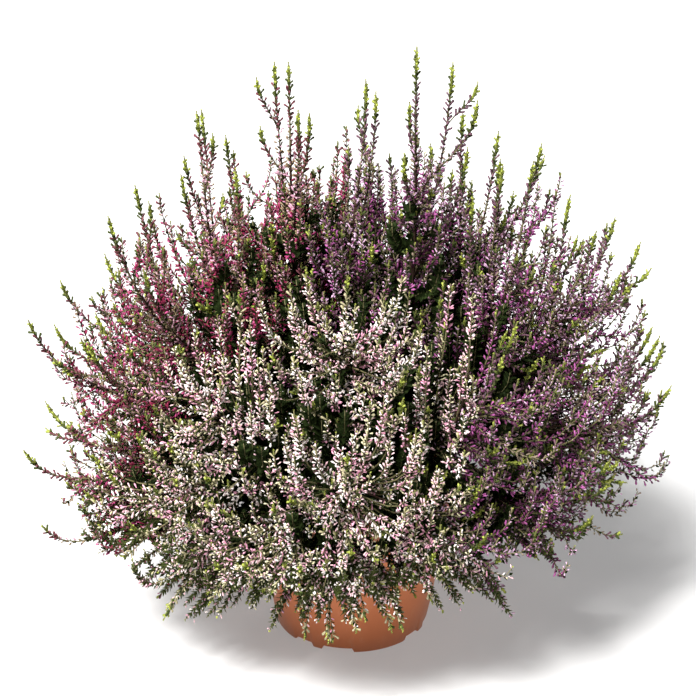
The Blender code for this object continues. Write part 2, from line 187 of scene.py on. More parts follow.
def arc(centre, radius, first, last):
    """Points of a profile round a corner, from one angle to another in degrees."""
    angles = np.radians(np.linspace(first, last, ARC_STEPS + 1))
    return [(centre[0] + radius * math.cos(angle), centre[1] + radius * math.sin(angle)) for angle in angles]


def wall_radius(height):
    """Outer radius of the pot's wall under the collar."""
    return FOOT_RADIUS + (WALL_TOP_RADIUS - FOOT_RADIUS) * height / COLLAR_FOOT


def triangles_of_rings(rings, sides):
    """Triangles that join each ring of points to the next."""
    across = np.arange(sides)
    ring = np.arange(rings - 1)[:, None] * sides
    here, beside = ring + across, ring + (across + 1) % sides
    first = np.stack((here, beside, beside + sides), axis=-1)
    second = np.stack((here, beside + sides, here + sides), axis=-1)
    return np.concatenate((first.reshape(-1, 3), second.reshape(-1, 3)))


def fan(middle, start, sides):
    """Triangles from a middle point to each side of a ring of points, counter-clockwise."""
    here = np.arange(sides)
    return np.stack((np.full(sides, middle), start + here, start + (here + 1) % sides), axis=-1)


def flipped(faces):
    """The same triangles, facing the other way."""
    return faces[:, (0, 2, 1)]


def turns_round(sides):
    """Angles of the points of a ring, in radians."""
    return np.radians(np.arange(sides) * 360 / sides)


def circle(radius, sides):
    """Points of a level ring round the origin."""
    turn = turns_round(sides)
    return np.stack((np.cos(turn), np.sin(turn), np.zeros(sides)), axis=-1) * radius


def joined_piece(name, points, faces, finishes, tones=None, smooth=True):
    """One mesh from arrays of points and triangles, each triangle with its own finish."""
    mesh = bpy.data.meshes.new(name)
    mesh.vertices.add(len(points))
    mesh.vertices.foreach_set("co", np.asarray(points, np.float32).ravel())
    mesh.loops.add(faces.size)
    mesh.loops.foreach_set("vertex_index", np.asarray(faces, np.int32).ravel())
    mesh.polygons.add(len(faces))
    mesh.polygons.foreach_set("loop_start", np.arange(0, faces.size, 3, dtype=np.int32))
    mesh.polygons.foreach_set("use_smooth", np.full(len(faces), smooth))
    for finish in finishes:
        mesh.materials.append(finish.material)
    if tones is not None:
        mesh.polygons.foreach_set("material_index", np.asarray(tones, np.int32))
    mesh.update(calc_edges=True)
    made = bpy.data.objects.new(name, mesh)
    bpy.context.scene.collection.objects.link(made)
    return made


def pot_profile():
    """Radius and height down the pot's inside, over its rim, down its outside and under its floor."""
    lip = RIM_ROUNDING
    inner = WALL_TOP_RADIUS - POT_WALL
    profile = [(0.0, POT_FLOOR), (wall_radius(POT_FLOOR) - POT_WALL, POT_FLOOR), (inner, COLLAR_FOOT)]
    profile += arc((inner + lip, POT_HEIGHT - lip), lip, 180, 90)
    profile += arc((COLLAR_RADIUS - lip, POT_HEIGHT - lip), lip, 90, 0)
    profile += arc((COLLAR_RADIUS - COLLAR_ROUNDING, COLLAR_FOOT + COLLAR_ROUNDING), COLLAR_ROUNDING, 0, -90)
    heights = np.linspace(COLLAR_FOOT - FOOT_ROUNDING, FOOT_ROUNDING, WALL_BANDS)
    profile += [(wall_radius(height), height) for height in heights]
    profile += arc((FOOT_RADIUS - FOOT_ROUNDING, FOOT_ROUNDING), FOOT_ROUNDING, 0, -90)[1:]
    recess = FOOT_RADIUS - FOOT_WIDTH
    profile += [(recess, 0.0), (recess, RECESS_HEIGHT), (0.0, RECESS_HEIGHT)]
    return np.array(profile)


def in_notch(azimuth):
    """How far a place on the foot is inside a notch between two feet: 0 on a foot, 1 in a notch."""
    deepest = 0.0
    for quarter in range(QUARTERS):
        for centre, width in NOTCHES:
            turn = (azimuth - centre - quarter * 360 / QUARTERS + 180) % 360 - 180
            inside = width / 2 - abs(math.radians(turn)) * FOOT_RADIUS
            deepest = max(deepest, min(max(inside / NOTCH_EDGE + 0.5, 0.0), 1.0))
    return deepest


def make_pot(finish):
    """The pot, turned from its profile, with its feet notched and its drain holes cut."""
    profile = pot_profile()
    azimuths = np.arange(POT_STEPS) * 360 / POT_STEPS
    notch = np.array([in_notch(azimuth) for azimuth in azimuths])
    radii, heights = profile[1:-1, 0][:, None], profile[1:-1, 1][:, None]
    raised = np.maximum(heights, NOTCH_HEIGHT * notch[None, :])
    outside = (np.arange(len(radii)) >= len(radii) - WALL_BANDS - ARC_STEPS)[:, None]
    heights = np.where(outside, raised, heights)
    turn = np.radians(azimuths)[None, :]
    rings = np.stack((radii * np.cos(turn), radii * np.sin(turn), heights * np.ones_like(turn)), axis=-1)
    points = np.concatenate((rings.reshape(-1, 3), [(0, 0, POT_FLOOR), (0, 0, RECESS_HEIGHT)]))
    wall = triangles_of_rings(len(radii), POT_STEPS)[:, ::-1]
    floor = fan(len(points) - 2, 0, POT_STEPS)
    underside = flipped(fan(len(points) - 1, (len(radii) - 1) * POT_STEPS, POT_STEPS))
    pot = joined_piece("nursery_pot", points, np.concatenate((wall, floor, underside)), [finish])
    drill = drain_drill()
    holes = pot.modifiers.new("drain_holes", "BOOLEAN")
    holes.operation = "DIFFERENCE"
    holes.object = drill
    bpy.context.view_layer.update()
    drilled = bpy.data.meshes.new_from_object(pot.evaluated_get(bpy.context.evaluated_depsgraph_get()))
    pot.modifiers.clear()
    pot.data = drilled
    pot.data.set_sharp_from_angle(angle=math.radians(SHARP_EDGE))
    bpy.data.objects.remove(drill)
    return pot


def drain_drill():
    """The round drills that cut the drain holes, as one piece."""
    ring = circle(DRAIN_RADIUS, DRAIN_SIDES)
    here = np.arange(1, DRAIN_SIDES - 1)
    cap = np.stack((np.zeros_like(here), here + 1, here), axis=-1)
    side = triangles_of_rings(2, DRAIN_SIDES)
    points, faces = [], []
    for hole in range(DRAIN_HOLES):
        heading = math.radians((hole + 0.5) * 360 / DRAIN_HOLES)
        centre = np.array((math.cos(heading), math.sin(heading), 0.0)) * DRAIN_CIRCLE
        start = hole * DRAIN_SIDES * 2
        points += [centre + ring, centre + ring + (0.0, 0.0, POT_FLOOR * 2)]
        faces += [cap + start, cap[:, ::-1] + start + DRAIN_SIDES, side + start]
    return joined_piece("drain_drill", np.concatenate(points), np.concatenate(faces), [])


pot_plastic = Finish("terracotta_plastic", {"Specular IOR Level": PLASTIC_SHINE})
flow = pot_plastic.speckle(FLOW_SCALE, detail=4.0, stretch=FLOW_STRETCH)
grain = pot_plastic.speckle(GRAIN_SCALE, detail=2.0)
worn = pot_plastic.speckle(SCUFF_SCALE, detail=5.0, stretch=SCUFF_STRETCH)
scuffs = pot_plastic.spread(worn, *SCUFF_EDGES)
clay = pot_plastic.blend(scuffs * SCUFF_SHARE, pot_plastic.blend(flow, CLAY_DARK, CLAY_LIGHT), SCUFF_COLOUR)
dullness = PLASTIC_ROUGHNESS + flow * FLOW_DULLNESS + scuffs * SCUFF_DULLNESS
pot_plastic.plug(pot_plastic.shader, {"Base Color": clay, "Roughness": dullness})
pot_plastic.relief(grain * GRAIN_SHARE + flow * GRAIN_SHARE, PLASTIC_RELIEF)

pot = make_pot(pot_plastic)
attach(pot, "root")
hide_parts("pot")


# The compost is peat with bark crumbs, pressed in round the roots to a little under the rim. Its top is
# uneven and littered with crumbs, and its sides follow the pot's wall.

COMPOST_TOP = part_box("compost")[1].z
COMPOST_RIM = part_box("compost")[1].x
COMPOST_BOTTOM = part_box("compost")[0].z
SEAT_GAP = 0.3 * MM
COMPOST_RINGS = 16
COMPOST_SIDES = 128
LUMP_SIZE = 7 * MM
LUMP_HEIGHT = 2.4 * MM
LUMP_FADING = 0.6
LUMP_FINER = 2.0
LUMP_OCTAVES = 4
CRUMBS = 600
CRUMB_SIZES = (0.8 * MM, 2.8 * MM)
CRUMB_CROOKEDNESS = 0.35
CRUMB_SEED = 5
PEAT_DARK = (0.012, 0.007, 0.004)
PEAT_LIGHT = (0.075, 0.042, 0.024)
PEAT_SHINE = 0.2
PEAT_ROUGHNESS = 0.98
DAMP_SHINE = 0.15
PEAT_RELIEF = 0.4 * MM
FIBRE_SCALE = 420.0
DAMP_SCALE = 60.0


def lump(x, y):
    """How far the compost's surface stands over or under its planting height."""
    rough = noise.fractal((x / LUMP_SIZE, y / LUMP_SIZE, 0.0), LUMP_FADING, LUMP_FINER, LUMP_OCTAVES)
    return rough * LUMP_HEIGHT - LUMP_HEIGHT / 2


def make_compost(finish):
    """The compost's plug with a lumpy top, and its crumbs."""
    turn = turns_round(COMPOST_SIDES)
    points = []
    for share in np.linspace(1 / COMPOST_RINGS, 1, COMPOST_RINGS):
        xs, ys = COMPOST_RIM * share * np.cos(turn), COMPOST_RIM * share * np.sin(turn)
        points += [(x, y, COMPOST_TOP + lump(x, y)) for x, y in zip(xs, ys)]
    foot = COMPOST_RIM - (wall_radius(COMPOST_TOP) - wall_radius(COMPOST_BOTTOM))
    points += [(foot * math.cos(angle), foot * math.sin(angle), COMPOST_BOTTOM) for angle in turn]
    points += [(0.0, 0.0, COMPOST_TOP + lump(0.0, 0.0)), (0.0, 0.0, COMPOST_BOTTOM)]
    top = fan(len(points) - 2, 0, COMPOST_SIDES)
    bottom = flipped(fan(len(points) - 1, COMPOST_RINGS * COMPOST_SIDES, COMPOST_SIDES))
    sides = triangles_of_rings(COMPOST_RINGS + 1, COMPOST_SIDES)[:, ::-1]
    crumb_points, crumb_faces = make_crumbs(len(points))
    return joined_piece(
        "compost_top",
        np.concatenate((points, crumb_points)),
        np.concatenate((top, bottom, sides, crumb_faces)),
        [finish],
        smooth=False,
    )


def make_crumbs(start):
    """Points and triangles of the loose crumbs, each a crooked eight-sided lump."""
    dice = np.random.default_rng(CRUMB_SEED)
    radius = np.sqrt(dice.uniform(0, 1, CRUMBS)) * (COMPOST_RIM - CRUMB_SIZES[1])
    turn = dice.uniform(0, 2 * math.pi, CRUMBS)
    xs, ys = radius * np.cos(turn), radius * np.sin(turn)
    centres = np.array([(x, y, COMPOST_TOP + lump(x, y)) for x, y in zip(xs, ys)])
    corners = np.array(((1, 0, 0), (-1, 0, 0), (0, 1, 0), (0, -1, 0), (0, 0, 1), (0, 0, -1)))
    sizes = dice.uniform(*CRUMB_SIZES, (CRUMBS, 1, 1)) / 2
    crooked = dice.uniform(-CRUMB_CROOKEDNESS, CRUMB_CROOKEDNESS, (CRUMBS, len(corners), 3))
    points = centres[:, None, :] + (corners[None] + crooked) * sizes
    faces = np.array(
        ((0, 2, 4), (2, 1, 4), (1, 3, 4), (3, 0, 4), (2, 0, 5), (1, 2, 5), (3, 1, 5), (0, 3, 5))
    )
    faces = faces[None] + np.arange(CRUMBS)[:, None, None] * len(corners) + start
    return points.reshape(-1, 3), faces.reshape(-1, 3)


peat = Finish("peat_compost", {"Specular IOR Level": PEAT_SHINE})
fibre = peat.speckle(FIBRE_SCALE, detail=6.0, roughness=0.7)
damp = peat.speckle(DAMP_SCALE)
soil = peat.blend(fibre, PEAT_DARK, PEAT_LIGHT)
peat.plug(peat.shader, {"Base Color": soil, "Roughness": PEAT_ROUGHNESS - damp * DAMP_SHINE})
peat.relief(fibre, PEAT_RELIEF)

compost = make_compost(peat)
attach(compost, "root")
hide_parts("compost")


# Each plant has a short woody trunk under its foliage, and its boughs fork off it low down, each one
# tapering. The bark is thin, brown-grey and split into long strips, and the boughs' bark is finer.

PLANT_CIRCLE = 23 * MM
TRUNK_HEIGHT = 34 * MM
TRUNK_LEAN = 9.0
TRUNK_RADII = ((0.0, 5.6 * MM), (0.08, 4.5 * MM), (0.3, 3.7 * MM), (0.7, 3.1 * MM), (1.0, 2.6 * MM))
FORK_BOTTOM = 7 * MM
FORK_STEP = 0.5 * MM
START_LEAN = 38.0
START_SHARE = 0.24
START_STEEPEST = 50.0
BOUGH_SHARE = 0.28
BOUGH_LONGEST = 52 * MM
BOUGH_FOOT_RADIUS = 1.6 * MM
BOUGH_TIP_RADIUS = 1.1 * MM
UPTURN_SHARE = 0.32
DROOP_FROM = 92.0
DROOP_MORE = 36.0
DROOP_STEEPEST = 170.0
START_PULL = 0.40
TIP_PULL = 0.38
STEM_LENGTH = 12 * MM
TOOTH_RADIUS = 6.4 * MM
SPACE_GAP = 0.4 * MM
CURVE_SAMPLES = 48
UPRIGHT_SHARE = 0.001
SPACE_STEP = 3 * MM

# A plant's place round the pot, how low its side shoots may hang, its limbs, and the tips of the side shoots
# that stand out of its outline, as in the solids. Each row is one tip as seen from the trunk's foot: heading
# in degrees counter-clockwise from +X, lean from the vertical, and reach in mm
PLANTS = {
    "purple": {
        "place": 25.0,
        "lowest": 77 * MM,
        "limbs": (
            (-57, 5, 270),
            (-142, 4, 247),
            (-20, 21, 222),
            (-5, 36, 206),
            (-15, 63, 177),
            (-38, 80, 140),
            (54, 31, 205),
            (36, 56, 170),
            (83, 66, 155),
        ),
        "tips": (
            (178, 2, 235),
            (31, 9, 247),
            (-45, 14, 256),
            (-83, 13, 225),
            (-10, 17, 207),
            (0, 29, 200),
            (-15, 34, 202),
            (4, 44, 198),
            (-8, 56, 179),
            (-26, 72, 145),
        ),
    },
    "magenta": {
        "place": 147.0,
        "lowest": 74 * MM,
        "limbs": (
            (-142, 4, 256),
            (-158, 16, 243),
            (-162, 33, 212),
            (-164, 53, 201),
            (-162, 75, 174),
            (-158, 89, 163),
            (119, 33, 200),
            (137, 64, 156),
            (100, 61, 155),
        ),
        "tips": (
            (149, 6, 247),
            (-95, 8, 238),
            (-134, 16, 217),
            (174, 22, 197),
            (-166, 27, 202),
            (176, 41, 178),
            (-171, 72, 148),
            (-166, 52, 167),
        ),
    },
    "pink": {
        "place": -107.0,
        "lowest": 96 * MM,
        "limbs": (
            (-86, 20, 184),
            (-142, 38, 170),
            (-38, 40, 168),
            (-88, 50, 158),
            (-152, 67, 150),
            (-141, 100, 122),
            (-112, 74, 135),
            (-54, 71, 138),
            (-94, 103, 102),
        ),
        "tips": (
            (-143, 104, 123),
            (-130, 97, 110),
            (-115, 90, 97),
            (-103, 113, 92),
            (-94, 113, 93),
            (-82, 98, 100),
            (-71, 110, 92),
            (-60, 96, 100),
        ),
    },
}

BARK_STEP = 1.5 * MM
TRUNK_SIDES = 36
BOUGH_SIDES = 12
BARK_STRIP = 1.1 * MM
BARK_STRIP_LENGTH = 9 * MM
TRUNK_RELIEF = 0.42 * MM
BOUGH_RELIEF = 0.14 * MM
BARK_DARK = (0.055, 0.030, 0.017)
BARK_LIGHT = (0.235, 0.150, 0.098)
BARK_GREY = (0.30, 0.25, 0.20)
GREY_SHARE = 0.5
GREY_EDGES = (0.55, 0.75)
BARK_SHINE = 0.25
BARK_ROUGHNESS = 0.78
BARK_GRAIN = 0.15 * MM
STRIP_SCALE = 900.0
STRIP_STRETCH = (1.0, 1.0, 0.2)
PATCH_SCALE = 160.0
PATCH_DULLNESS = 0.15


def way_of(heading, lean):
    """Unit vector at a heading from +X and a lean from the vertical, in degrees."""
    heading, lean = math.radians(heading), math.radians(lean)
    level = math.sin(lean)
    return np.array((level * math.cos(heading), level * math.sin(heading), math.cos(lean)))


def unit(way):
    """A direction as a unit vector."""
    return way / np.linalg.norm(way)


def heading_and_lean(way):
    """The heading and lean of a direction, in degrees."""
    lean = math.acos(way[2] / np.linalg.norm(way))
    return math.degrees(math.atan2(way[1], way[0])), math.degrees(lean)


def tip_way(heading, lean):
    """Direction that a shoot's tip points in: curled up, or hanging on the skirt."""
    if lean < DROOP_FROM:
        return way_of(heading, lean * UPTURN_SHARE)
    return way_of(heading, min(lean + DROOP_MORE, DROOP_STEEPEST))


class Path:
    """A smooth limb or shoot, read by the length run along it."""

    def __init__(self, start, start_direction, tip, tip_direction, pull=TIP_PULL):
        chord = np.linalg.norm(tip - start)
        after = start + start_direction * chord * START_PULL
        before = tip - tip_direction * chord * pull
        share = np.linspace(0, 1, CURVE_SAMPLES)[:, None]
        rest = 1 - share
        self.points = (
            rest**3 * start + 3 * rest**2 * share * after + 3 * rest * share**2 * before + share**3 * tip
        )
        steps = np.linalg.norm(np.diff(self.points, axis=0), axis=1)
        self.lengths = np.concatenate(((0.0,), np.cumsum(steps)))
        self.length = self.lengths[-1]

    def at(self, run):
        """Points at one or more lengths along the path."""
        return np.stack([np.interp(run, self.lengths, self.points[:, axis]) for axis in range(3)], axis=-1)

    def way(self, run):
        """Direction of the path at a length along it."""
        step = self.length / CURVE_SAMPLES
        return unit(self.at(min(run + step, self.length)) - self.at(max(run - step, 0.0)))

    def frames(self, runs):
        """Points at lengths along the path, with the path's direction and two directions across it."""
        runs = np.clip(runs, 0.0, self.length)
        step = self.length / CURVE_SAMPLES
        ahead = self.at(np.minimum(runs + step, self.length)) - self.at(np.maximum(runs - step, 0.0))
        ahead /= np.linalg.norm(ahead, axis=1)[:, None]
        level = np.cross((0.0, 0.0, 1.0), self.points[-1] - self.points[0])
        if np.linalg.norm(level) < self.length * UPRIGHT_SHARE:
            level = np.array((1.0, 0.0, 0.0))
        side = level - (ahead @ level)[:, None] * ahead
        side /= np.linalg.norm(side, axis=1)[:, None]
        return self.at(runs), ahead, side, np.cross(ahead, side)


def plant_foot(place):
    """Where a plant's trunk meets the compost."""
    return way_of(place, 90.0) * PLANT_CIRCLE + np.array((0.0, 0.0, COMPOST_TOP))


def tip_at(place, heading, lean, reach):
    """Where a limb or a named shoot ends, as seen from its plant's foot."""
    return plant_foot(place) + way_of(heading, lean) * reach * MM


def trunk_at(place, height):
    """The middle of a trunk at a height over the compost: upright at its flare, then leaning out."""
    leaning = max(height - TRUNK_RADII[1][0] * TRUNK_HEIGHT, 0.0)
    lean = way_of(place, 90.0) * math.tan(math.radians(TRUNK_LEAN)) * leaning
    return plant_foot(place) + np.array((0.0, 0.0, height)) + lean


def limb_path(place, limb, height):
    """Path of one limb that forks at a height: its bough, and on it the leading shoot of its mass."""
    heading, lean = limb[:2]
    tip = tip_at(place, *limb)
    if height > TRUNK_HEIGHT:
        return Path(trunk_at(place, height), way_of(place, TRUNK_LEAN), tip, tip_way(heading, lean))
    start_lean = min(START_LEAN + lean * START_SHARE, START_STEEPEST)
    clear = np.interp(height / TRUNK_HEIGHT, *zip(*TRUNK_RADII)) + SEAT_GAP
    clear += BOUGH_FOOT_RADIUS * math.cos(math.radians(start_lean))
    start = trunk_at(place, height) + way_of(heading, 90.0) * clear
    return Path(start, way_of(heading, start_lean), tip, tip_way(heading, lean))


def bough_length(path):
    """How much of a limb is bare bough before its mass begins."""
    return min(path.length * BOUGH_SHARE, BOUGH_LONGEST)


def limb_balls(path):
    """Points along a limb, and the radius that it fills at each."""
    lengths = np.arange(0, path.length, SPACE_STEP)
    bare = lengths < bough_length(path) + STEM_LENGTH
    return path.at(lengths), np.where(bare, BOUGH_FOOT_RADIUS, TOOTH_RADIUS)


def place_limbs():
    """Paths of all the limbs, each forked at the lowest height that keeps it clear of the others."""
    rows = [(plant, index) for plant in PLANTS for index in range(len(PLANTS[plant]["limbs"]))]
    rows.sort(key=lambda row: PLANTS[row[0]]["limbs"][row[1]][1], reverse=True)
    paths, taken = {}, []
    for plant, index in rows:
        heights = np.arange(FORK_BOTTOM, TRUNK_HEIGHT, FORK_STEP)
        if index == 0:
            heights = (TRUNK_HEIGHT + SEAT_GAP * 2,)
        for height in heights:
            path = limb_path(PLANTS[plant]["place"], PLANTS[plant]["limbs"][index], height)
            points, radii = limb_balls(path)
            free = all(
                np.all(gaps(points, radii, others, other_radii) > SPACE_GAP) for others, other_radii in taken
            )
            if free and clear_of_pot(points, radii):
                break
        paths[plant, index] = path
        taken.append((points, radii))
    return paths


def clear_of_pot(points, radii):
    """Whether every ball of a shoot is clear of the pot and the compost."""
    flat = np.hypot(points[:, 0], points[:, 1])
    low = points[:, 2] - radii - SPACE_GAP
    top = points[:, 2] + radii + SPACE_GAP
    over = low > POT_HEIGHT
    inside = (flat + radii + SPACE_GAP < wall_radius(COMPOST_TOP) - POT_WALL) & (low > COMPOST_TOP)
    outer = np.where(top < COLLAR_FOOT, wall_radius(top), COLLAR_RADIUS)
    beside = (flat - radii - SPACE_GAP > outer) & (low > 0)
    return bool(np.all(over | inside | beside))


def distances(points, others):
    """Distance of each point to each of the others."""
    return np.linalg.norm(points[:, None, :] - others[None, :, :], axis=2)


def gaps(points, radii, others, other_radii):
    """Gap between each ball of one limb and each ball of another."""
    return distances(points, others) - radii[:, None] - other_radii[None, :]


def tube(points, sides, others, radii, corners, relief=None):
    """Points and triangles of a limb: rings across its path, and a point at each end."""
    turn = turns_round(corners)
    out = sides[:, None, :] * np.cos(turn)[None, :, None] + others[:, None, :] * np.sin(turn)[None, :, None]
    reach = np.repeat(radii[:, None], corners, axis=1)
    if relief is not None:
        reach = reach + relief(turn, radii)
    rings = points[:, None, :] + out * reach[:, :, None]
    ends = len(points) * corners
    foot = flipped(fan(ends, 0, corners))
    tip = fan(ends + 1, ends - corners, corners)
    body = triangles_of_rings(len(points), corners)
    return np.concatenate((rings.reshape(-1, 3), points[:1], points[-1:])), np.concatenate((body, foot, tip))


def bark_strips(depth):
    """Relief of long strips of bark, of one depth."""

    def relief(turn, radii):
        rows = []
        for row, radius in enumerate(radii):
            along = row * BARK_STEP / BARK_STRIP_LENGTH
            around = radius / BARK_STRIP
            rows.append(
                [
                    noise.noise((math.cos(angle) * around, math.sin(angle) * around, along)) * depth
                    for angle in turn
                ]
            )
        return np.array(rows)

    return relief


def join_parts(parts):
    """Points and triangles of several parts as one."""
    starts = np.cumsum([0] + [len(points) for points, faces in parts[:-1]])
    points = np.concatenate([points for points, faces in parts])
    return points, np.concatenate([faces + start for (own, faces), start in zip(parts, starts)])


def trunk_part(place):
    """A plant's trunk with its flare and its bark."""
    heights = np.arange(SEAT_GAP, TRUNK_HEIGHT, BARK_STEP)
    points = np.array([trunk_at(place, height) for height in heights])
    radii = np.interp(heights / TRUNK_HEIGHT, *zip(*TRUNK_RADII)) - TRUNK_RELIEF / 2
    level = np.tile((1.0, 0.0, 0.0), (len(points), 1))
    other = np.tile((0.0, 1.0, 0.0), (len(points), 1))
    return tube(points, level, other, radii, TRUNK_SIDES, bark_strips(TRUNK_RELIEF))


def bough_part(path):
    """A bare bough, from its trunk to where its shoots begin."""
    lengths = np.arange(0, bough_length(path), BARK_STEP)
    points, ahead, side, other = path.frames(lengths)
    radii = np.linspace(BOUGH_FOOT_RADIUS, BOUGH_TIP_RADIUS, len(lengths))
    return tube(points, side, other, radii, BOUGH_SIDES, bark_strips(BOUGH_RELIEF))


bark = Finish("thin_bark", {"Specular IOR Level": BARK_SHINE})
strips = bark.speckle(STRIP_SCALE, detail=4.0, stretch=STRIP_STRETCH)
patches = bark.speckle(PATCH_SCALE)
grey = bark.spread(patches, *GREY_EDGES) * GREY_SHARE
brown = bark.blend(grey, bark.blend(strips, BARK_DARK, BARK_LIGHT), BARK_GREY)
bark.plug(bark.shader, {"Base Color": brown, "Roughness": BARK_ROUGHNESS + patches * PATCH_DULLNESS})
bark.relief(strips, BARK_GRAIN)

paths = place_limbs()
for plant, facts in PLANTS.items():
    numbers = range(len(facts["limbs"]))
    parts = [trunk_part(facts["place"])] + [bough_part(paths[plant, index]) for index in numbers]
    wood = joined_piece("wood_" + plant, *join_parts(parts), [bark])
    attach(wood, "root")
    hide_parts("trunk_" + plant, *[f"bough_{plant}_{index + 1}" for index in numbers])


# The shoots of each mass fork off its leader and keep to its own space, by the rule of the solids. Each
# shoot then bears a sprig, and layers of finer shoots fill the crown, its skirt and its inside, so that it
# is full from all sides.

TOOTH_STEP = 12.5 * MM
CORE_RADIUS = 3.0 * MM
ROOT_RADIUS = 1.1 * MM
STEM_RADIUS = 1.5 * MM
TIP_RADIUS = 0.7 * MM
TIP_LENGTH = 20 * MM
TIP_TOOTH_SHARE = 0.55
LEAST_TEETH = 4
SHOOTS_PER_MASS = 7
TURN_JITTER = 15.0
SPREAD_WIDEST = 23.0
SPREAD_LEAST = 6.0
FORK_SHARE = (0.03, 0.30)
FORK_TURN = 0.65
NAMED_FORK = 0.6
NAMED_TRIES = 20
DROOP_MARGIN = 10 * MM
REACH_SHARE = (0.66, 1.0)
REACH_BLEND = 3
REACH_SOFTENING = 1.0
TRIES = 30
CROWN_HALF_WIDTH = 179 * MM
CROWN_HALF_DEPTH = 152 * MM
GOLDEN_TURN = 137.508
SEEDS_PER_PLANT = 100
CROWN_CENTRE = np.array((0.0, 0.0, COMPOST_TOP))

# Layers of shoots that fill the crown: kind, number of directions over a whole sphere, range of leans, how
# much further than the nearest tip they may lean, shares of the crown's reach, and how far they may grow
# into the next mass
LAYERS = (
    {"kind": "filler", "ways": 4600, "leans": (0, 32), "past": 30, "reach": (0.50, 0.84), "slack": 14 * MM},
    {"kind": "filler", "ways": 3100, "leans": (32, 88), "past": 30, "reach": (0.62, 0.98), "slack": 20 * MM},
    {"kind": "skirt", "ways": 5000, "leans": (82, 108), "past": 9, "reach": (0.62, 0.93), "slack": 40 * MM},
    {"kind": "inside", "ways": 2700, "leans": (0, 106), "past": 12, "reach": (0.22, 0.74), "slack": 45 * MM},
)
CROWDING = {"purple": 1.0, "magenta": 1.0, "pink": 1.3}
FILLER_RADIUS = 1.2 * MM
FILLER_WIDEST = 34.0
FILLER_JITTER = 2.5
FILLER_SHORTER = 0.95
FILLER_TRIES = 8
FILLER_LIMBS = 3
FILLER_UPTURN = 0.10
FILLER_PULL = 0.52
SKIRT_DROOP = 12.0
FILLER_FORKS = 24
FILLER_FORK_SHARE = (0.5, 0.9)
FILLER_BRANCHING = 34.0
FILLER_STEEPEST = 62.0
FILLER_SHORTEST = 16 * MM
SPRIGS_PER_SHOOT = 1
SPRIG_FORK = (0.38, 0.78)
SPRIG_LENGTHS = (20 * MM, 44 * MM)
SPRIG_SPREAD = (16.0, 34.0)
SPRIG_UPTURN = 0.35
SPRIG_RADIUS = 3.0 * MM
SPRIG_STEP = 4 * MM
SPRIG_LEFT = 1.1
FINE_SEED = 1000


def crown_reach(way, limbs):
    """How far the crown reaches in a direction from a plant's foot: its limbs' reaches, blended."""
    weights, reaches = [], []
    for heading, lean, reach in limbs:
        angle = math.acos(min(float(np.dot(way, way_of(heading, lean))), 1.0))
        weights.append(1 / (angle + math.radians(REACH_SOFTENING)) ** REACH_BLEND)
        reaches.append(reach * MM)
    return float(np.average(reaches, weights=weights))


def in_space(points, radii, own, others, lowest, slack=0.0):
    """Whether a shoot keeps to the space nearer to its own leader than to any other limb."""
    room = distances(points, others).min(axis=1) - distances(points, own).min(axis=1) + slack
    wide = np.abs(points[:, 0]) + radii > CROWN_HALF_WIDTH
    deep = np.abs(points[:, 1]) + radii > CROWN_HALF_DEPTH
    low = points[:, 2] - radii < lowest
    return bool(np.all(room > 2 * (radii + SPACE_GAP)) and not np.any(wide | deep | low))


def turned(way, spread, turn):
    """A direction tilted off another by a spread, at a turn about it, in degrees."""
    side = unit(np.cross(way, (0.0, 1.0, 0.0)))
    other = np.cross(way, side)
    spread, turn = math.radians(spread), math.radians(turn)
    across = side * math.cos(turn) + other * math.sin(turn)
    return way * math.cos(spread) + across * math.sin(spread)


def shoot_rings(path):
    """Places and radii of the rings of a toothed shoot in the solids, from its fork to its tip."""
    count = max(LEAST_TEETH, round((path.length - STEM_LENGTH) / TOOTH_STEP))
    lengths = np.concatenate(((0.0,), np.linspace(STEM_LENGTH, path.length, count + 1)))
    toothed = np.arange(count + 2) % 2 == count % 2
    slim = np.where(path.length - lengths < TIP_LENGTH, TIP_TOOTH_SHARE, 1.0)
    radii = np.where(toothed, TOOTH_RADIUS, CORE_RADIUS) * slim
    radii[0], radii[1], radii[-1] = ROOT_RADIUS, STEM_RADIUS, TIP_RADIUS
    return path.at(lengths), radii


def forked_path(path, fork, tip, direction, pull=TIP_PULL):
    """A shoot that leaves a limb at a length along it and ends at a tip."""
    start = path.at(fork)
    start_way = unit(path.way(fork) * (1 - FORK_TURN) + unit(tip - start) * FORK_TURN)
    return Path(start, start_way, tip, direction, pull)


def nearest_limb(way, facts):
    """Which of a plant's limbs points most nearly in a direction."""
    return int(np.argmax([np.dot(way, way_of(*limb[:2])) for limb in facts["limbs"]]))


def lowest_of(index, facts):
    """How low a mass may hang: the plant's limit, or a little under its leader's tip if that hangs lower."""
    tip = tip_at(facts["place"], *facts["limbs"][index])
    return min(facts["lowest"], tip[2] - DROOP_MARGIN)


def shoot_fits(shoot, lowest, own, others):
    """Whether a shoot of the solids keeps to its mass's space and clear of the pot."""
    points, radii = shoot_rings(shoot)
    return in_space(points, radii, own, others, lowest) and clear_of_pot(points, radii)


def named_shoots(path, index, facts, own, others):
    """Paths of the shoots to the plant's named tips that point most nearly along this limb."""
    begin = bough_length(path)
    shoots = []
    for heading, lean, reach in facts["tips"]:
        if nearest_limb(way_of(heading, lean), facts) != index:
            continue
        tip = tip_at(facts["place"], heading, lean, reach)
        lowest = min(lowest_of(index, facts), tip[2] - DROOP_MARGIN)
        for share in np.linspace(FORK_SHARE[0], NAMED_FORK, NAMED_TRIES):
            shoot = forked_path(path, begin + (path.length - begin) * share, tip, tip_way(heading, lean))
            if shoot_fits(shoot, lowest, own, others):
                shoots.append(shoot)
                break
    return shoots


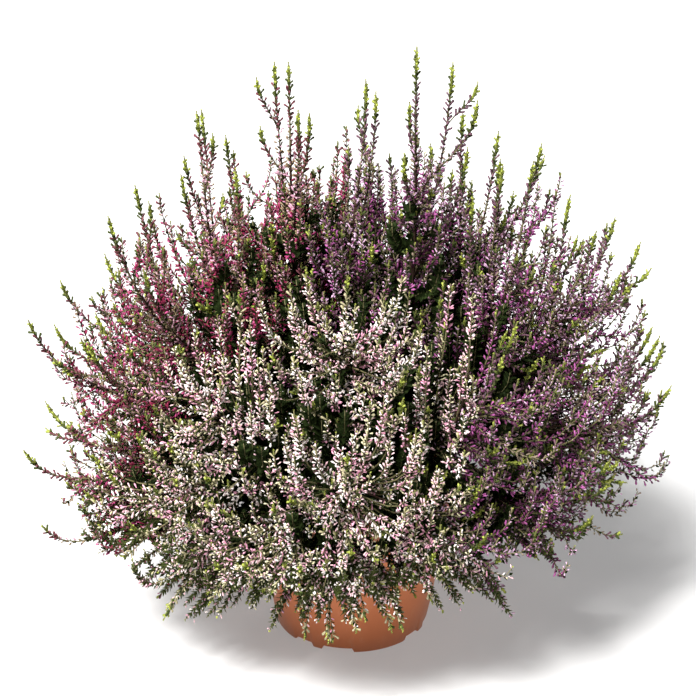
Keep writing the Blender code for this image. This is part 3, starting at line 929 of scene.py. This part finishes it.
def side_shoots(path, index, facts, own, others, dice):
    """Paths of the shoots that branch off a mass's leader, as wide as its space lets them."""
    leader_way = way_of(*facts["limbs"][index][:2])
    foot = plant_foot(facts["place"])
    begin = bough_length(path)
    turn = dice.uniform(0, 360)
    shoots = named_shoots(path, index, facts, own, others)
    for order in range(SHOOTS_PER_MASS - len(shoots)):
        for attempt in range(TRIES):
            spread = SPREAD_WIDEST + (SPREAD_LEAST - SPREAD_WIDEST) * attempt / TRIES
            about = turn + order * GOLDEN_TURN + dice.uniform(-TURN_JITTER, TURN_JITTER)
            way = turned(leader_way, spread, about)
            tip = foot + way * crown_reach(way, facts["limbs"]) * dice.uniform(*REACH_SHARE)
            fork = begin + (path.length - begin) * dice.uniform(*FORK_SHARE)
            shoot = forked_path(path, fork, tip, tip_way(*heading_and_lean(way)))
            if shoot_fits(shoot, lowest_of(index, facts), own, others):
                shoots.append(shoot)
                break
    return shoots


def slim_balls(path, radius):
    """Points along a fine shoot past its root, and the radius that it fills at each."""
    lengths = np.arange(SPRIG_STEP, path.length, SPRIG_STEP)
    return path.at(lengths), np.full(len(lengths), radius)


def fits(path, radius, lowest, own, others, slack=0.0):
    """Whether a fine shoot keeps to the mass's space and clear of the pot."""
    points, radii = slim_balls(path, radius)
    return in_space(points, radii, own, others, lowest, slack) and clear_of_pot(points, radii)


def lattice(count):
    """Directions spread evenly over a sphere, by the golden angle, from the top down."""
    drop = 1 - 2 * (np.arange(count) + 0.5) / count
    return [
        way_of(order * GOLDEN_TURN, math.degrees(math.acos(height))) for order, height in enumerate(drop)
    ]


def angle_between(first, second):
    """The angle between two unit vectors, in degrees."""
    return math.degrees(math.acos(min(max(float(np.dot(first, second)), -1.0), 1.0)))


def best_fork(path, tip):
    """Where a shoot to a tip leaves a limb at nearly the angle that such shoots branch at, if anywhere."""
    first = bough_length(path) * FILLER_FORK_SHARE[0]
    last = path.length * FILLER_FORK_SHARE[1]
    choices = []
    for run in np.linspace(first, last, FILLER_FORKS):
        across = tip - path.at(run)
        length = np.linalg.norm(across)
        angle = angle_between(path.way(run), across / length)
        if length > FILLER_SHORTEST and angle < FILLER_STEEPEST:
            choices.append((abs(angle - FILLER_BRANCHING), run))
    return min(choices)[1] if choices else None


def crown_tips():
    """Heading, lean and reach in mm of every leader's tip and named tip, from the middle of the compost."""
    tips = [
        tip_at(facts["place"], *row) - CROWN_CENTRE
        for facts in PLANTS.values()
        for row in facts["limbs"] + facts["tips"]
    ]
    return [(*heading_and_lean(tip), np.linalg.norm(tip) / MM) for tip in tips]


def filling_shoots(layer, dice):
    """Paths of one layer of filling shoots, by plant: tips spread evenly, each forked off a near limb."""
    rows = crown_tips()
    keys = list(paths)
    balls = [limb_balls(path)[0] for path in paths.values()]
    points = np.concatenate(balls)
    owners = np.repeat(np.arange(len(balls)), [len(ball) for ball in balls])
    crowding = np.array([CROWDING[keys[owner][0]] for owner in owners])
    made = {plant: [] for plant in PLANTS}
    for way in lattice(layer["ways"]):
        way = turned(way, dice.uniform(0, FILLER_JITTER), dice.uniform(0, 360))
        heading, lean = heading_and_lean(way)
        whole = crown_reach(way, rows) * dice.uniform(*layer["reach"])
        angle, steepest = min((angle_between(way, way_of(*row[:2])), row[1]) for row in rows)
        steepest = min(steepest + layer["past"], layer["leans"][1])
        if angle > FILLER_WIDEST or not layer["leans"][0] < lean < steepest:
            continue
        tip_lean = lean * FILLER_UPTURN if lean < DROOP_FROM else lean + SKIRT_DROOP
        direction = way_of(heading, tip_lean)
        for attempt in range(FILLER_TRIES):
            tip = CROWN_CENTRE + way * whole * FILLER_SHORTER**attempt
            order = owners[np.argsort(np.linalg.norm(points - tip, axis=1) * crowding)]
            limbs = order[np.sort(np.unique(order, return_index=True)[1])]
            limb = limbs[attempt % FILLER_LIMBS]
            plant, index = keys[limb]
            fork = best_fork(paths[plant, index], tip)
            if fork is None:
                continue
            shoot = forked_path(paths[plant, index], fork, tip, direction, FILLER_PULL)
            lowest = min(lowest_of(index, PLANTS[plant]), tip[2] - DROOP_MARGIN)
            others = points[owners != limb]
            if fits(shoot, FILLER_RADIUS, lowest, balls[limb], others, layer["slack"]):
                made[plant].append(shoot)
                break
    return made


def sprigs(path, lowest, own, others, dice):
    """Paths of the short sprigs that fork off one shoot and curl up beside it."""
    turn = dice.uniform(0, 360)
    made = []
    for order in range(SPRIGS_PER_SHOOT):
        for attempt in range(TRIES):
            fork = path.length * dice.uniform(*SPRIG_FORK)
            ahead = path.way(fork)
            about = turn + order * GOLDEN_TURN + dice.uniform(-TURN_JITTER, TURN_JITTER)
            way = turned(ahead, dice.uniform(*SPRIG_SPREAD), about)
            longest = (path.length - fork) * SPRIG_LEFT
            tip = path.at(fork) + way * min(dice.uniform(*SPRIG_LENGTHS), longest)
            direction = unit(ahead * (1 - SPRIG_UPTURN) + np.array((0.0, 0.0, SPRIG_UPTURN)))
            sprig = Path(path.at(fork), way, tip, direction)
            if fits(sprig, SPRIG_RADIUS, lowest, own, others):
                made.append(sprig)
                break
    return made


def grow_mass(number, plant, index):
    """The sprays of one mass: each one's path, where its foliage begins on it, and its kind."""
    facts, path = PLANTS[plant], paths[plant, index]
    own = limb_balls(path)[0]
    strangers = [other for key, other in paths.items() if key != (plant, index)]
    others = np.concatenate([limb_balls(stranger)[0] for stranger in strangers])
    seed = SEEDS_PER_PLANT * number + index
    shoots = side_shoots(path, index, facts, own, others, random.Random(seed))
    dice = random.Random(FINE_SEED + seed)
    lowest = lowest_of(index, facts)
    fine = [sprig for shoot in [path] + shoots for sprig in sprigs(shoot, lowest, own, others, dice)]
    grown = [(path, bough_length(path) + SEAT_GAP, "leader")]
    grown += [(shoot, 0.0, "shoot") for shoot in shoots]
    return grown + [(sprig, 0.0, "sprig") for sprig in fine]


sprays = {}
for number, plant in enumerate(PLANTS):
    masses = [grow_mass(number, plant, index) for index in range(len(PLANTS[plant]["limbs"]))]
    sprays[plant] = [spray for mass in masses for spray in mass]
for number, layer in enumerate(LAYERS):
    for plant, shoots in filling_shoots(layer, random.Random(FINE_SEED + number)).items():
        sprays[plant] += [(shoot, 0.0, layer["kind"]) for shoot in shoots]

# Where the purple plant has grown through the pink one: to the right of this edge and over this height
MIXED_EDGE = 66 * MM
MIXED_BOTTOM = 105 * MM


def beside_pink(spray):
    """Whether a spray ends in the part that the purple plant has grown through."""
    tip = spray[0].points[-1]
    return bool(tip[0] > MIXED_EDGE and tip[2] > MIXED_BOTTOM)


sprays["purple"] += [spray for spray in sprays["pink"] if beside_pink(spray)]
sprays["pink"] = [spray for spray in sprays["pink"] if not beside_pink(spray)]


def masses_of(plant):
    """Names of the solids that a plant's foliage stands for."""
    return [f"mass_{plant}_{index + 1}" for index in range(len(PLANTS[plant]["limbs"]))]


# The twigs are thin and wiry, brown where they are old and green towards the tip. Each one grows on from
# its bough or shoot, and carries its leaves and buds in rows along it.

TWIG_STEP = 9 * MM
TWIG_LEAST_STEPS = 4
TWIG_SIDES = 3
TWIG_ROOT_RADIUS = 0.85 * MM
TWIG_TIP_RADIUS = 0.28 * MM
TWIG_TAPER = 110 * MM
LEADER_ROOT_RADIUS = BOUGH_TIP_RADIUS
GREEN_TWIG = 48 * MM


def twig_part(path, begin, kind):
    """A twig from where its foliage begins to its tip, and which of its triangles are young and green."""
    steps = max(TWIG_LEAST_STEPS, round((path.length - begin) / TWIG_STEP))
    runs = np.linspace(begin, path.length, steps + 1)
    points, ahead, side, other = path.frames(runs)
    left = path.length - runs
    thickest = LEADER_ROOT_RADIUS if kind == "leader" else TWIG_ROOT_RADIUS
    radii = TWIG_TIP_RADIUS + (thickest - TWIG_TIP_RADIUS) * np.minimum(left / TWIG_TAPER, 1.0)
    part, faces = tube(points, side, other, radii, TWIG_SIDES)
    middles = part[faces].mean(axis=1)
    young = np.linalg.norm(middles - path.points[-1], axis=1) < GREEN_TWIG
    return part, faces, young


def twig_finish(name, constants, dark, light, scale, depth):
    """A thin bark with a fine grain."""
    made = Finish(name, constants)
    grain = made.speckle(scale)
    made.plug(made.shader, {"Base Color": made.blend(grain, dark, light)})
    made.relief(grain, depth)
    return made


OLD_TWIG = {"Specular IOR Level": 0.1, "Roughness": 0.85}
YOUNG_TWIG = {"Specular IOR Level": 0.2, "Roughness": 0.6}
twig_finishes = [
    twig_finish("old_twig", OLD_TWIG, (0.022, 0.013, 0.009), (0.080, 0.045, 0.030), 700.0, 0.08 * MM),
    twig_finish("young_twig", YOUNG_TWIG, (0.095, 0.088, 0.036), (0.220, 0.195, 0.098), 500.0, 0.05 * MM),
]

for plant, grown in sprays.items():
    parts, young = [], []
    for path, begin, kind in grown:
        points, faces, green = twig_part(path, begin, kind)
        parts.append((points, faces))
        young.append(green)
    twigs = joined_piece("twigs_" + plant, *join_parts(parts), twig_finishes, np.concatenate(young))
    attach(twigs, "root")
    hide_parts(*masses_of(plant))


# The leaves are short scales that overlap on the lime-green tips and stand further apart on the older
# twigs, where they are dark green, painted near black as the shade inside the crown. They grow in pairs,
# each pair a quarter turn on from the last.

# Ranges of length, by plant, of a spray's lime tip, of its budding stretch and of its bloom
TIP_LENGTHS = {"purple": (13 * MM, 22 * MM), "magenta": (12 * MM, 20 * MM), "pink": (7 * MM, 14 * MM)}
BUDDING_LENGTHS = {"purple": (16 * MM, 30 * MM), "magenta": (14 * MM, 26 * MM), "pink": (5 * MM, 14 * MM)}
BLOOM_LENGTHS = {"purple": (55 * MM, 85 * MM), "magenta": (55 * MM, 85 * MM), "pink": (48 * MM, 75 * MM)}

# By kind of spray: the shares that it has of its plant's tip and bloom, and how far down its leaves go
ZONE_SHARES = {
    "leader": (1.0, 1.0),
    "shoot": (1.0, 1.0),
    "sprig": (0.6, 0.7),
    "filler": (0.4, 0.5),
    "skirt": (0.5, 0.5),
    "inside": (0.0, 0.0),
}
LEAFY_LENGTHS = {
    "leader": 130 * MM,
    "shoot": 110 * MM,
    "sprig": 50 * MM,
    "filler": 66 * MM,
    "skirt": 60 * MM,
    "inside": 60 * MM,
}
FILLER_TIP_SHARE = (0.15, 0.95)
HEM_HEIGHT = 104 * MM
HEM_TIP_SHARE = 0.5
TIP_LEAF_STEP = 0.8 * MM
BUDDING_LEAF_STEP = 2.2 * MM
OLD_LEAF_STEP = 3.2 * MM

# On the skirt and inside the crown a leaf stands for several, so it is larger
SKIRT_LEAF_STEP = 1.5 * MM
SKIRT_LEAF_SIZE = 1.4
# The leaves inside the crown all take the old leaves' tone, painted near black as shade
INSIDE_LEAF_STEP = 2.3 * MM
INSIDE_LEAF_SIZE = 2.4

FIRST_LEAF = 0.3 * MM
FIRST_INSIDE_LEAF = 0.5 * MM
LEAFLESS_FOOT = 2 * MM
STEP_JITTER = 0.2
LEAF_LENGTH = 2.7 * MM
LEAF_WIDTH = 1.7 * MM
LEAF_THICKNESS = 0.55
LEAF_SIZES = (0.85, 1.15)
UNFOLDING = 6 * MM
YOUNGEST_LEAF = 0.35
LEAF_LEAN = 24.0
OLD_LEAF_LEAN = 44.0
LEAF_LEAN_JITTER = 7
PAIR_TURN = 90.0
LEAF_TURN_JITTER = 14
LIME_ENDS = (0.7, 1.0)
OLIVE_ENDS = (0.8, 1.2)
LEAF_SEED = 41
UNEVEN_EDGES = (0.3, 0.7)
LEAF_ROUGHNESS = 0.6
LEAF_RELIEF = 0.08 * MM
LEAF_SCALE = 420.0

# A scale folded along its middle: its foot, its widest points on either side and its tip
LEAF_POINTS = np.array(((0.0, 0.35, 0.0), (0.5, 0.0, 0.38), (0.0, 0.45, 1.0), (-0.5, 0.0, 0.38)))
LEAF_FACES = np.array(((0, 1, 2), (0, 2, 3)))


def zones(plant, path, kind, dice):
    """How far from its tip a spray's lime tip, its budding stretch and its bloom each end."""
    share, bloom_share = ZONE_SHARES[kind]
    if kind in ("filler", "skirt"):
        share *= dice.uniform(*FILLER_TIP_SHARE)
    if path.points[-1][2] < HEM_HEIGHT:
        share *= HEM_TIP_SHARE
    tip = dice.uniform(*TIP_LENGTHS[plant]) * share
    budding = tip + dice.uniform(*BUDDING_LENGTHS[plant]) * share
    bloom = budding + dice.uniform(*BLOOM_LENGTHS[plant]) * bloom_share
    return tip, budding, bloom


def steps_down(first, last, step, dice):
    """Distances from the tip, a step apart and a little uneven."""
    count = max(int((last - first) / step), 0)
    return first + (np.arange(count) + dice.uniform(-STEP_JITTER, STEP_JITTER, count)) * step


def stand_out(path, down, turns, leans):
    """Where things grow on a twig at distances from its tip, and the ways that they point and face."""
    points, ahead, side, other = path.frames(path.length - down)
    turns, leans = np.radians(turns)[:, None], np.radians(leans)[:, None]
    out = side * np.cos(turns) + other * np.sin(turns)
    along = ahead * np.cos(leans) + out * np.sin(leans)
    face = out * np.cos(leans) - ahead * np.sin(leans)
    return points, along, face


def copies(shape, faces, points, along, face, lengths, widths, thickness):
    """Points and triangles of many copies of one small shape."""
    across = np.cross(along, face)
    size = shape[None] * np.stack((widths, widths * thickness, lengths), axis=-1)[:, None, :]
    made = points[:, None, :] + across[:, None, :] * size[..., :1]
    made = made + face[:, None, :] * size[..., 1:2] + along[:, None, :] * size[..., 2:]
    start = np.arange(len(points))[:, None, None] * len(shape)
    return made.reshape(-1, 3), (faces[None] + start).reshape(-1, 3)


def leaf_rows(path, begin, kind, ends, dice):
    """Distances from the tip of all the leaf pairs on a spray."""
    tip, budding, bloom = ends
    whole = min(path.length - begin - LEAFLESS_FOOT, LEAFY_LENGTHS[kind])
    if kind == "inside":
        return steps_down(FIRST_INSIDE_LEAF, whole, INSIDE_LEAF_STEP, dice)
    return np.concatenate(
        (
            steps_down(FIRST_LEAF, min(tip, whole), TIP_LEAF_STEP, dice),
            steps_down(tip, min(budding, whole), BUDDING_LEAF_STEP, dice),
            steps_down(budding, whole, SKIRT_LEAF_STEP if kind == "skirt" else OLD_LEAF_STEP, dice),
        )
    )


def grow_leaves(path, begin, kind, ends, dice):
    """The leaves of one spray: points, triangles and the green of each triangle."""
    down = leaf_rows(path, begin, kind, ends, dice)
    pairs = np.arange(len(down)) * PAIR_TURN + dice.uniform(0, 360)
    down, turns = np.repeat(down, 2), np.repeat(pairs, 2) + np.tile((0.0, 180.0), len(down))
    count = len(down)
    turns = turns + dice.uniform(-LEAF_TURN_JITTER, LEAF_TURN_JITTER, count)
    old = np.clip((down - ends[0]) / (ends[1] - ends[0] + MM), 0, 1)
    leans = LEAF_LEAN + (OLD_LEAF_LEAN - LEAF_LEAN) * old
    leans = leans + dice.uniform(-LEAF_LEAN_JITTER, LEAF_LEAN_JITTER, count)
    young = np.clip(down / UNFOLDING, YOUNGEST_LEAF, 1)
    size = {"inside": INSIDE_LEAF_SIZE, "skirt": SKIRT_LEAF_SIZE}.get(kind, 1.0)
    lengths = LEAF_LENGTH * size * young * dice.uniform(*LEAF_SIZES, count)
    placed = stand_out(path, down, turns, leans)
    widths = LEAF_WIDTH * size * np.sqrt(young) * dice.uniform(*LEAF_SIZES, count)
    points, faces = copies(LEAF_POINTS, LEAF_FACES, *placed, lengths, widths, LEAF_THICKNESS)
    tones = np.where(down < ends[0] * dice.uniform(*LIME_ENDS, count), LIME, OLIVE)
    # Leaves below the budding stretch take the old leaves' tone, whose near black is painted shade; the skirt
    # keeps its olive
    if kind != "skirt":
        tones = np.where(down > ends[1] * dice.uniform(*OLIVE_ENDS, count), OLD_AND_SHADED, tones)
    return points, faces, np.repeat(tones, len(LEAF_FACES))


def uneven_finish(name, constants, dark, light, scale, depth):
    """A colour that is a little uneven from leaf to leaf, or from bud to bud."""
    made = Finish(name, constants)
    uneven = made.spread(made.speckle(scale, detail=2.0), *UNEVEN_EDGES)
    made.plug(made.shader, {"Base Color": made.blend(uneven, dark, light)})
    made.relief(uneven, depth)
    return made


def leaf_finish(name, dark, light, shine):
    """A waxy green."""
    constants = {"Roughness": LEAF_ROUGHNESS, "Specular IOR Level": shine}
    return uneven_finish(name, constants, dark, light, LEAF_SCALE, LEAF_RELIEF)


LIME, OLIVE, OLD_AND_SHADED = range(3)
greens = [
    leaf_finish("lime_leaf", (0.190, 0.230, 0.030), (0.430, 0.480, 0.095), 0.2),
    leaf_finish("olive_leaf", (0.028, 0.042, 0.010), (0.080, 0.102, 0.025), 0.12),
    # The old leaves' own dark green, painted near black as the shade inside the crown
    leaf_finish("old_leaf_and_painted_shade", (0.006, 0.011, 0.003), (0.024, 0.038, 0.010), 0.05),
]

spray_zones = {}
for plant, grown in sprays.items():
    dice = np.random.default_rng(LEAF_SEED + len(plant))
    parts, tones = [], []
    for number, (path, begin, kind) in enumerate(grown):
        spray_zones[plant, number] = zones(plant, path, kind, dice)
        points, faces, tone = grow_leaves(path, begin, kind, spray_zones[plant, number], dice)
        parts.append((points, faces))
        tones.append(tone)
    tones = np.concatenate(tones)
    leaves = joined_piece("leaves_" + plant, *join_parts(parts), greens, tones, smooth=False)
    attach(leaves, "root")
    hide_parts(*masses_of(plant))
    "foliage_" + plant


# The buds never open. Each is a small dry closed bell on a short stalk. They stand along the spike, first
# clubs that turn from green to the plant's own tone, then coloured ones in whorls, in the spray's own mix.

CLUB_STEP = 1.15 * MM
CLUB_FIRST = 3.5 * MM
CLUB_LENGTHS = (1.7 * MM, 3.9 * MM)
CLUB_WIDTH = 1.5 * MM
CLUB_SHOULDER = 0.82
CLUB_LEAN = 40.0
CLUB_LEAN_JITTER = 12
CLUB_TURN_JITTER = 20
CLUB_GREEN_SHARE = 0.6
CLUB_MIXING = 0.2
CLUB_OLIVE_END = 0.3
BUD_STEP = 2.8 * MM
BUDS_PER_WHORL = 3
BUD_STALK = (0.3 * MM, 1.6 * MM)
BUD_LENGTHS = {"purple": 3.6 * MM, "magenta": 3.6 * MM, "pink": 3.7 * MM}
BUD_WIDTHS = {"purple": 1.45 * MM, "magenta": 1.45 * MM, "pink": 1.35 * MM}
BUD_SHOULDER = 0.7
BUD_SIZES = (0.8, 1.2)
BUD_WIDTHS_SPREAD = (0.85, 1.15)
BUDLESS_FOOT = 3 * MM
BUD_SCATTER = 0.5
SWELLING = 28 * MM
SMALLEST_BUD = 0.55
SHADE_HEIGHTS = (70 * MM, 170 * MM)
SHADE_BUD_SHARE = {"purple": 0.7, "magenta": 0.6, "pink": 0.45}
BUD_LEAN = 48.0
BUD_LEAN_JITTER = 16
BUD_TURN_JITTER = 22

# The young bloom under a spray's tip is paler: how far down it goes, by kind of spray, the share of that
# before it thins out, and the share of its buds that are pale
YOUNG_BLOOM = {"leader": 90 * MM, "shoot": 75 * MM, "sprig": 45 * MM, "filler": 14 * MM, "skirt": 10 * MM}
YOUNG_PLATEAU = 0.4
YOUNG_SHARE = 0.95
BUD_SEED = 73
LARGEST_PIECE = 190000
BUD_SHINE = 0.15
BUD_ROUGHNESS = 0.62
BUD_RELIEF = 0.06 * MM
BUD_SCALE = 380.0


def bell(shoulder):
    """A closed bell: three corners round its foot, three round its shoulder and a point at its mouth."""
    foot = [(0, 0.22, 0), (-0.2, -0.12, 0), (0.2, -0.12, 0)]
    return np.array(foot + [(0, 0.5, shoulder), (-0.45, -0.28, shoulder), (0.45, -0.28, shoulder), (0, 0, 1)])


BUD_POINTS = bell(BUD_SHOULDER)
CLUB_POINTS = bell(CLUB_SHOULDER)
BUD_FACES = np.array(
    ((0, 1, 3), (1, 4, 3), (1, 2, 4), (2, 5, 4), (2, 0, 5), (0, 3, 5), (6, 3, 4), (6, 4, 5), (6, 5, 3))
)


def grow_clubs(path, begin, ends, dice):
    """The clubs under a spray's tip, green ones first: points, triangles and their tones."""
    whole = path.length - begin - BUDLESS_FOOT
    down = steps_down(CLUB_FIRST, min(ends[1], whole), CLUB_STEP, dice)
    count = len(down)
    turns = np.arange(count) * GOLDEN_TURN + dice.uniform(0, 360)
    turns = turns + dice.uniform(-CLUB_TURN_JITTER, CLUB_TURN_JITTER, count)
    lengths = np.interp(down, (0, ends[0]), CLUB_LENGTHS) * dice.uniform(*BUD_SIZES, count)
    leans = CLUB_LEAN + dice.uniform(-CLUB_LEAN_JITTER, CLUB_LEAN_JITTER, count)
    placed = stand_out(path, down, turns, leans)
    widths = CLUB_WIDTH * dice.uniform(*BUD_SIZES, count)
    points, faces = copies(CLUB_POINTS, BUD_FACES, *placed, lengths, widths, 1.0)
    green = ends[0] * CLUB_GREEN_SHARE
    share = (down - green) / (ends[1] - green) + dice.uniform(-CLUB_MIXING, CLUB_MIXING, count)
    tones = np.select([share < 0.0, share < CLUB_OLIVE_END], [LIME, OLIVE], CLUB_TONE)
    return points, faces, np.repeat(tones, len(BUD_FACES))


def grow_buds(plant, path, begin, kind, ends, weights, dice):
    """The coloured buds of one spray, fewer low down in the shade: points, triangles and their tones."""
    whole = path.length - begin - BUDLESS_FOOT
    down = steps_down(ends[1], min(ends[2], whole), BUD_STEP, dice)
    whorl = np.arange(len(down)) * GOLDEN_TURN + dice.uniform(0, 360)
    turns = (whorl[:, None] + np.arange(BUDS_PER_WHORL)[None] * 360 / BUDS_PER_WHORL).ravel()
    down = np.repeat(down, BUDS_PER_WHORL)
    down = down + dice.uniform(-BUD_SCATTER, BUD_SCATTER, len(down)) * BUD_STEP
    heights = path.at(path.length - down)[:, 2]
    open_share = np.interp(heights, SHADE_HEIGHTS, (SHADE_BUD_SHARE[plant], 1.0))
    kept = dice.uniform(0, 1, len(down)) < open_share
    down, turns = down[kept], turns[kept]
    count = len(down)
    turns = turns + dice.uniform(-BUD_TURN_JITTER, BUD_TURN_JITTER, count)
    leans = BUD_LEAN + dice.uniform(-BUD_LEAN_JITTER, BUD_LEAN_JITTER, count)
    points, along, face = stand_out(path, down, turns, leans)
    points = points + along * dice.uniform(*BUD_STALK, count)[:, None]
    swollen = np.interp(down - ends[1], (0, SWELLING), (SMALLEST_BUD, 1.0))
    lengths = BUD_LENGTHS[plant] * swollen * dice.uniform(*BUD_SIZES, count)
    widths = BUD_WIDTHS[plant] * np.sqrt(swollen) * dice.uniform(*BUD_WIDTHS_SPREAD, count)
    points, faces = copies(BUD_POINTS, BUD_FACES, points, along, face, lengths, widths, 1.0)
    tones = dice.choice(len(weights), count, p=weights)
    thinning = (YOUNG_BLOOM[kind] * YOUNG_PLATEAU, YOUNG_BLOOM[kind])
    young = dice.uniform(0, 1, count) < np.interp(down - ends[1], thinning, (YOUNG_SHARE, 0.0))
    tones = np.where(young, dice.choice(YOUNG_TONES[plant], count), tones) + FIRST_BUD_TONE
    return points, faces, np.repeat(tones, len(BUD_FACES))


def bud_finish(name, dark, light):
    """A dry papery colour."""
    constants = {"Roughness": BUD_ROUGHNESS, "Specular IOR Level": BUD_SHINE}
    return uneven_finish(name, constants, dark, light, BUD_SCALE, BUD_RELIEF)


# A plant's buds have the lime and the olive of the leaves, then the tone of its clubs, then those of its buds
CLUB_TONE = 2
FIRST_BUD_TONE = 3
CLUB_TONES = {
    "purple": ("plum_club", (0.065, 0.030, 0.045), (0.200, 0.095, 0.135)),
    "magenta": ("wine_club", (0.085, 0.022, 0.032), (0.240, 0.075, 0.095)),
    "pink": ("blush_club", (0.240, 0.230, 0.120), (0.520, 0.450, 0.290)),
}
BUD_TONES = {
    "purple": (
        ("plum_bud", (0.090, 0.018, 0.060), (0.200, 0.050, 0.130)),
        ("purple_bud", (0.270, 0.055, 0.200), (0.450, 0.135, 0.350)),
        ("mauve_bud", (0.390, 0.220, 0.350), (0.630, 0.430, 0.570)),
        ("dusk_bud", (0.150, 0.115, 0.080), (0.300, 0.240, 0.170)),
    ),
    "magenta": (
        ("wine_bud", (0.170, 0.012, 0.042), (0.330, 0.030, 0.090)),
        ("magenta_bud", (0.310, 0.032, 0.118), (0.500, 0.082, 0.225)),
        ("rose_bud", (0.390, 0.180, 0.260), (0.610, 0.370, 0.440)),
        ("russet_bud", (0.190, 0.130, 0.080), (0.330, 0.240, 0.150)),
    ),
    "pink": (
        ("cream_bud", (0.830, 0.730, 0.700), (0.960, 0.910, 0.890)),
        ("blush_bud", (0.780, 0.470, 0.520), (0.920, 0.660, 0.690)),
        ("pale_rose_bud", (0.650, 0.260, 0.390), (0.830, 0.450, 0.570)),
        ("straw_bud", (0.500, 0.460, 0.260), (0.740, 0.700, 0.480)),
    ),
}
TONE_SHARES = {
    "purple": (0.48, 0.34, 0.09, 0.09),
    "magenta": (0.50, 0.38, 0.05, 0.07),
    "pink": (0.32, 0.28, 0.35, 0.05),
}
YOUNG_TONES = {"purple": (2, 3), "magenta": (2, 3), "pink": (0, 1, 3)}
TONE_EVENNESS = 1.8

for plant, grown in sprays.items():
    dice = np.random.default_rng(BUD_SEED + len(plant))
    tones = [greens[LIME], greens[OLIVE], bud_finish(*CLUB_TONES[plant])]
    tones += [bud_finish(*tone) for tone in BUD_TONES[plant]]
    parts, colours = [], []
    for number, (path, begin, kind) in enumerate(grown):
        ends = spray_zones[plant, number]
        weights = dice.dirichlet(np.array(TONE_SHARES[plant]) * TONE_EVENNESS)
        if kind == "inside":
            continue
        for points, faces, colour in (
            grow_clubs(path, begin, ends, dice),
            grow_buds(plant, path, begin, kind, ends, weights, dice),
        ):
            parts.append((points, faces))
            colours.append(colour)
    total = sum(len(faces) for points, faces in parts)
    count = math.ceil(total / LARGEST_PIECE)
    per_piece = math.ceil(len(parts) / count)
    for piece in range(count):
        chosen = slice(piece * per_piece, (piece + 1) * per_piece)
        name = f"buds_{plant}_{piece + 1}"
        buds = joined_piece(name, *join_parts(parts[chosen]), tones, np.concatenate(colours[chosen]))
        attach(buds, "root")
        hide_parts(*masses_of(plant))
        "foliage_" + plant


# The studio is a pale floor under a large soft key light high on the left, with a weak fill on the right
# and a dim white surround. The floor gives a little light of its own, so that the plant's shadow stays pale.
# The camera looks down at the plant from in front.

FLOOR_RADIUS = 30.0
FLOOR_SIDES = 96
FLOOR_COLOUR = (0.52, 0.52, 0.52)
FLOOR_GLOW = 0.28
FLOOR_ROUGHNESS = 0.9
FLOOR_SHINE = 0.1
WHITE = (1.0, 1.0, 1.0)
CAMERA_PLACE = (0.0, -1.4256, 0.9164)
CAMERA_PITCH = 27.6
IMAGE_SIZE = 696
FOCAL_PIXELS = 2922.0
SHIFT_PIXELS = -4.0
SENSOR_WIDTH = 36.0
SURROUND_STRENGTH = 0.09
KEY = {"place": (-9.5, -10.5, 24.5), "size": 8.0, "power": 23600.0, "colour": (1.0, 0.99, 0.975)}
FILL = {"place": (1.6, -1.1, 1.2), "size": 1.2, "power": 4.0, "colour": (0.97, 0.985, 1.0)}
LIGHT_TARGET = (0.0, 0.0, 0.17)


def make_floor():
    """A wide round pale floor."""
    points = np.concatenate((circle(FLOOR_RADIUS, FLOOR_SIDES), [(0.0, 0.0, 0.0)]))
    paint = Finish(
        "pale_floor",
        {
            "Base Color": as_colour(FLOOR_COLOUR),
            "Roughness": FLOOR_ROUGHNESS,
            "Specular IOR Level": FLOOR_SHINE,
            "Emission Color": as_colour(WHITE),
            "Emission Strength": FLOOR_GLOW,
        },
    )
    return joined_piece("floor", points, fan(FLOOR_SIDES, 0, FLOOR_SIDES), [paint])


def soft_light(name, facts):
    """A square soft box that points at the plant."""
    lamp = bpy.data.lights.new(name, "AREA")
    lamp.size = facts["size"]
    lamp.energy = facts["power"]
    lamp.color = facts["colour"]
    made = bpy.data.objects.new(name, lamp)
    made.location = facts["place"]
    back = Vector(facts["place"]) - Vector(LIGHT_TARGET)
    made.rotation_euler = back.to_track_quat("Z", "Y").to_euler()
    bpy.context.scene.collection.objects.link(made)


make_floor()
soft_light("key_light", KEY)
soft_light("fill_light", FILL)

surround = bpy.data.worlds.new("studio")
surround.use_nodes = True
sky = surround.node_tree.nodes["Background"]
sky.inputs["Color"].default_value = as_colour(WHITE)
sky.inputs["Strength"].default_value = SURROUND_STRENGTH
bpy.context.scene.world = surround
bpy.context.scene.view_settings.view_transform = "Standard"

lens = bpy.data.cameras.new("camera")
lens.sensor_width = SENSOR_WIDTH
lens.lens = FOCAL_PIXELS / IMAGE_SIZE * SENSOR_WIDTH
lens.shift_x = SHIFT_PIXELS / IMAGE_SIZE
camera = bpy.data.objects.new("camera", lens)
camera.location = CAMERA_PLACE
camera.rotation_euler = (math.radians(90 - CAMERA_PITCH), 0.0, 0.0)
bpy.context.scene.collection.objects.link(camera)
bpy.context.scene.camera = camera
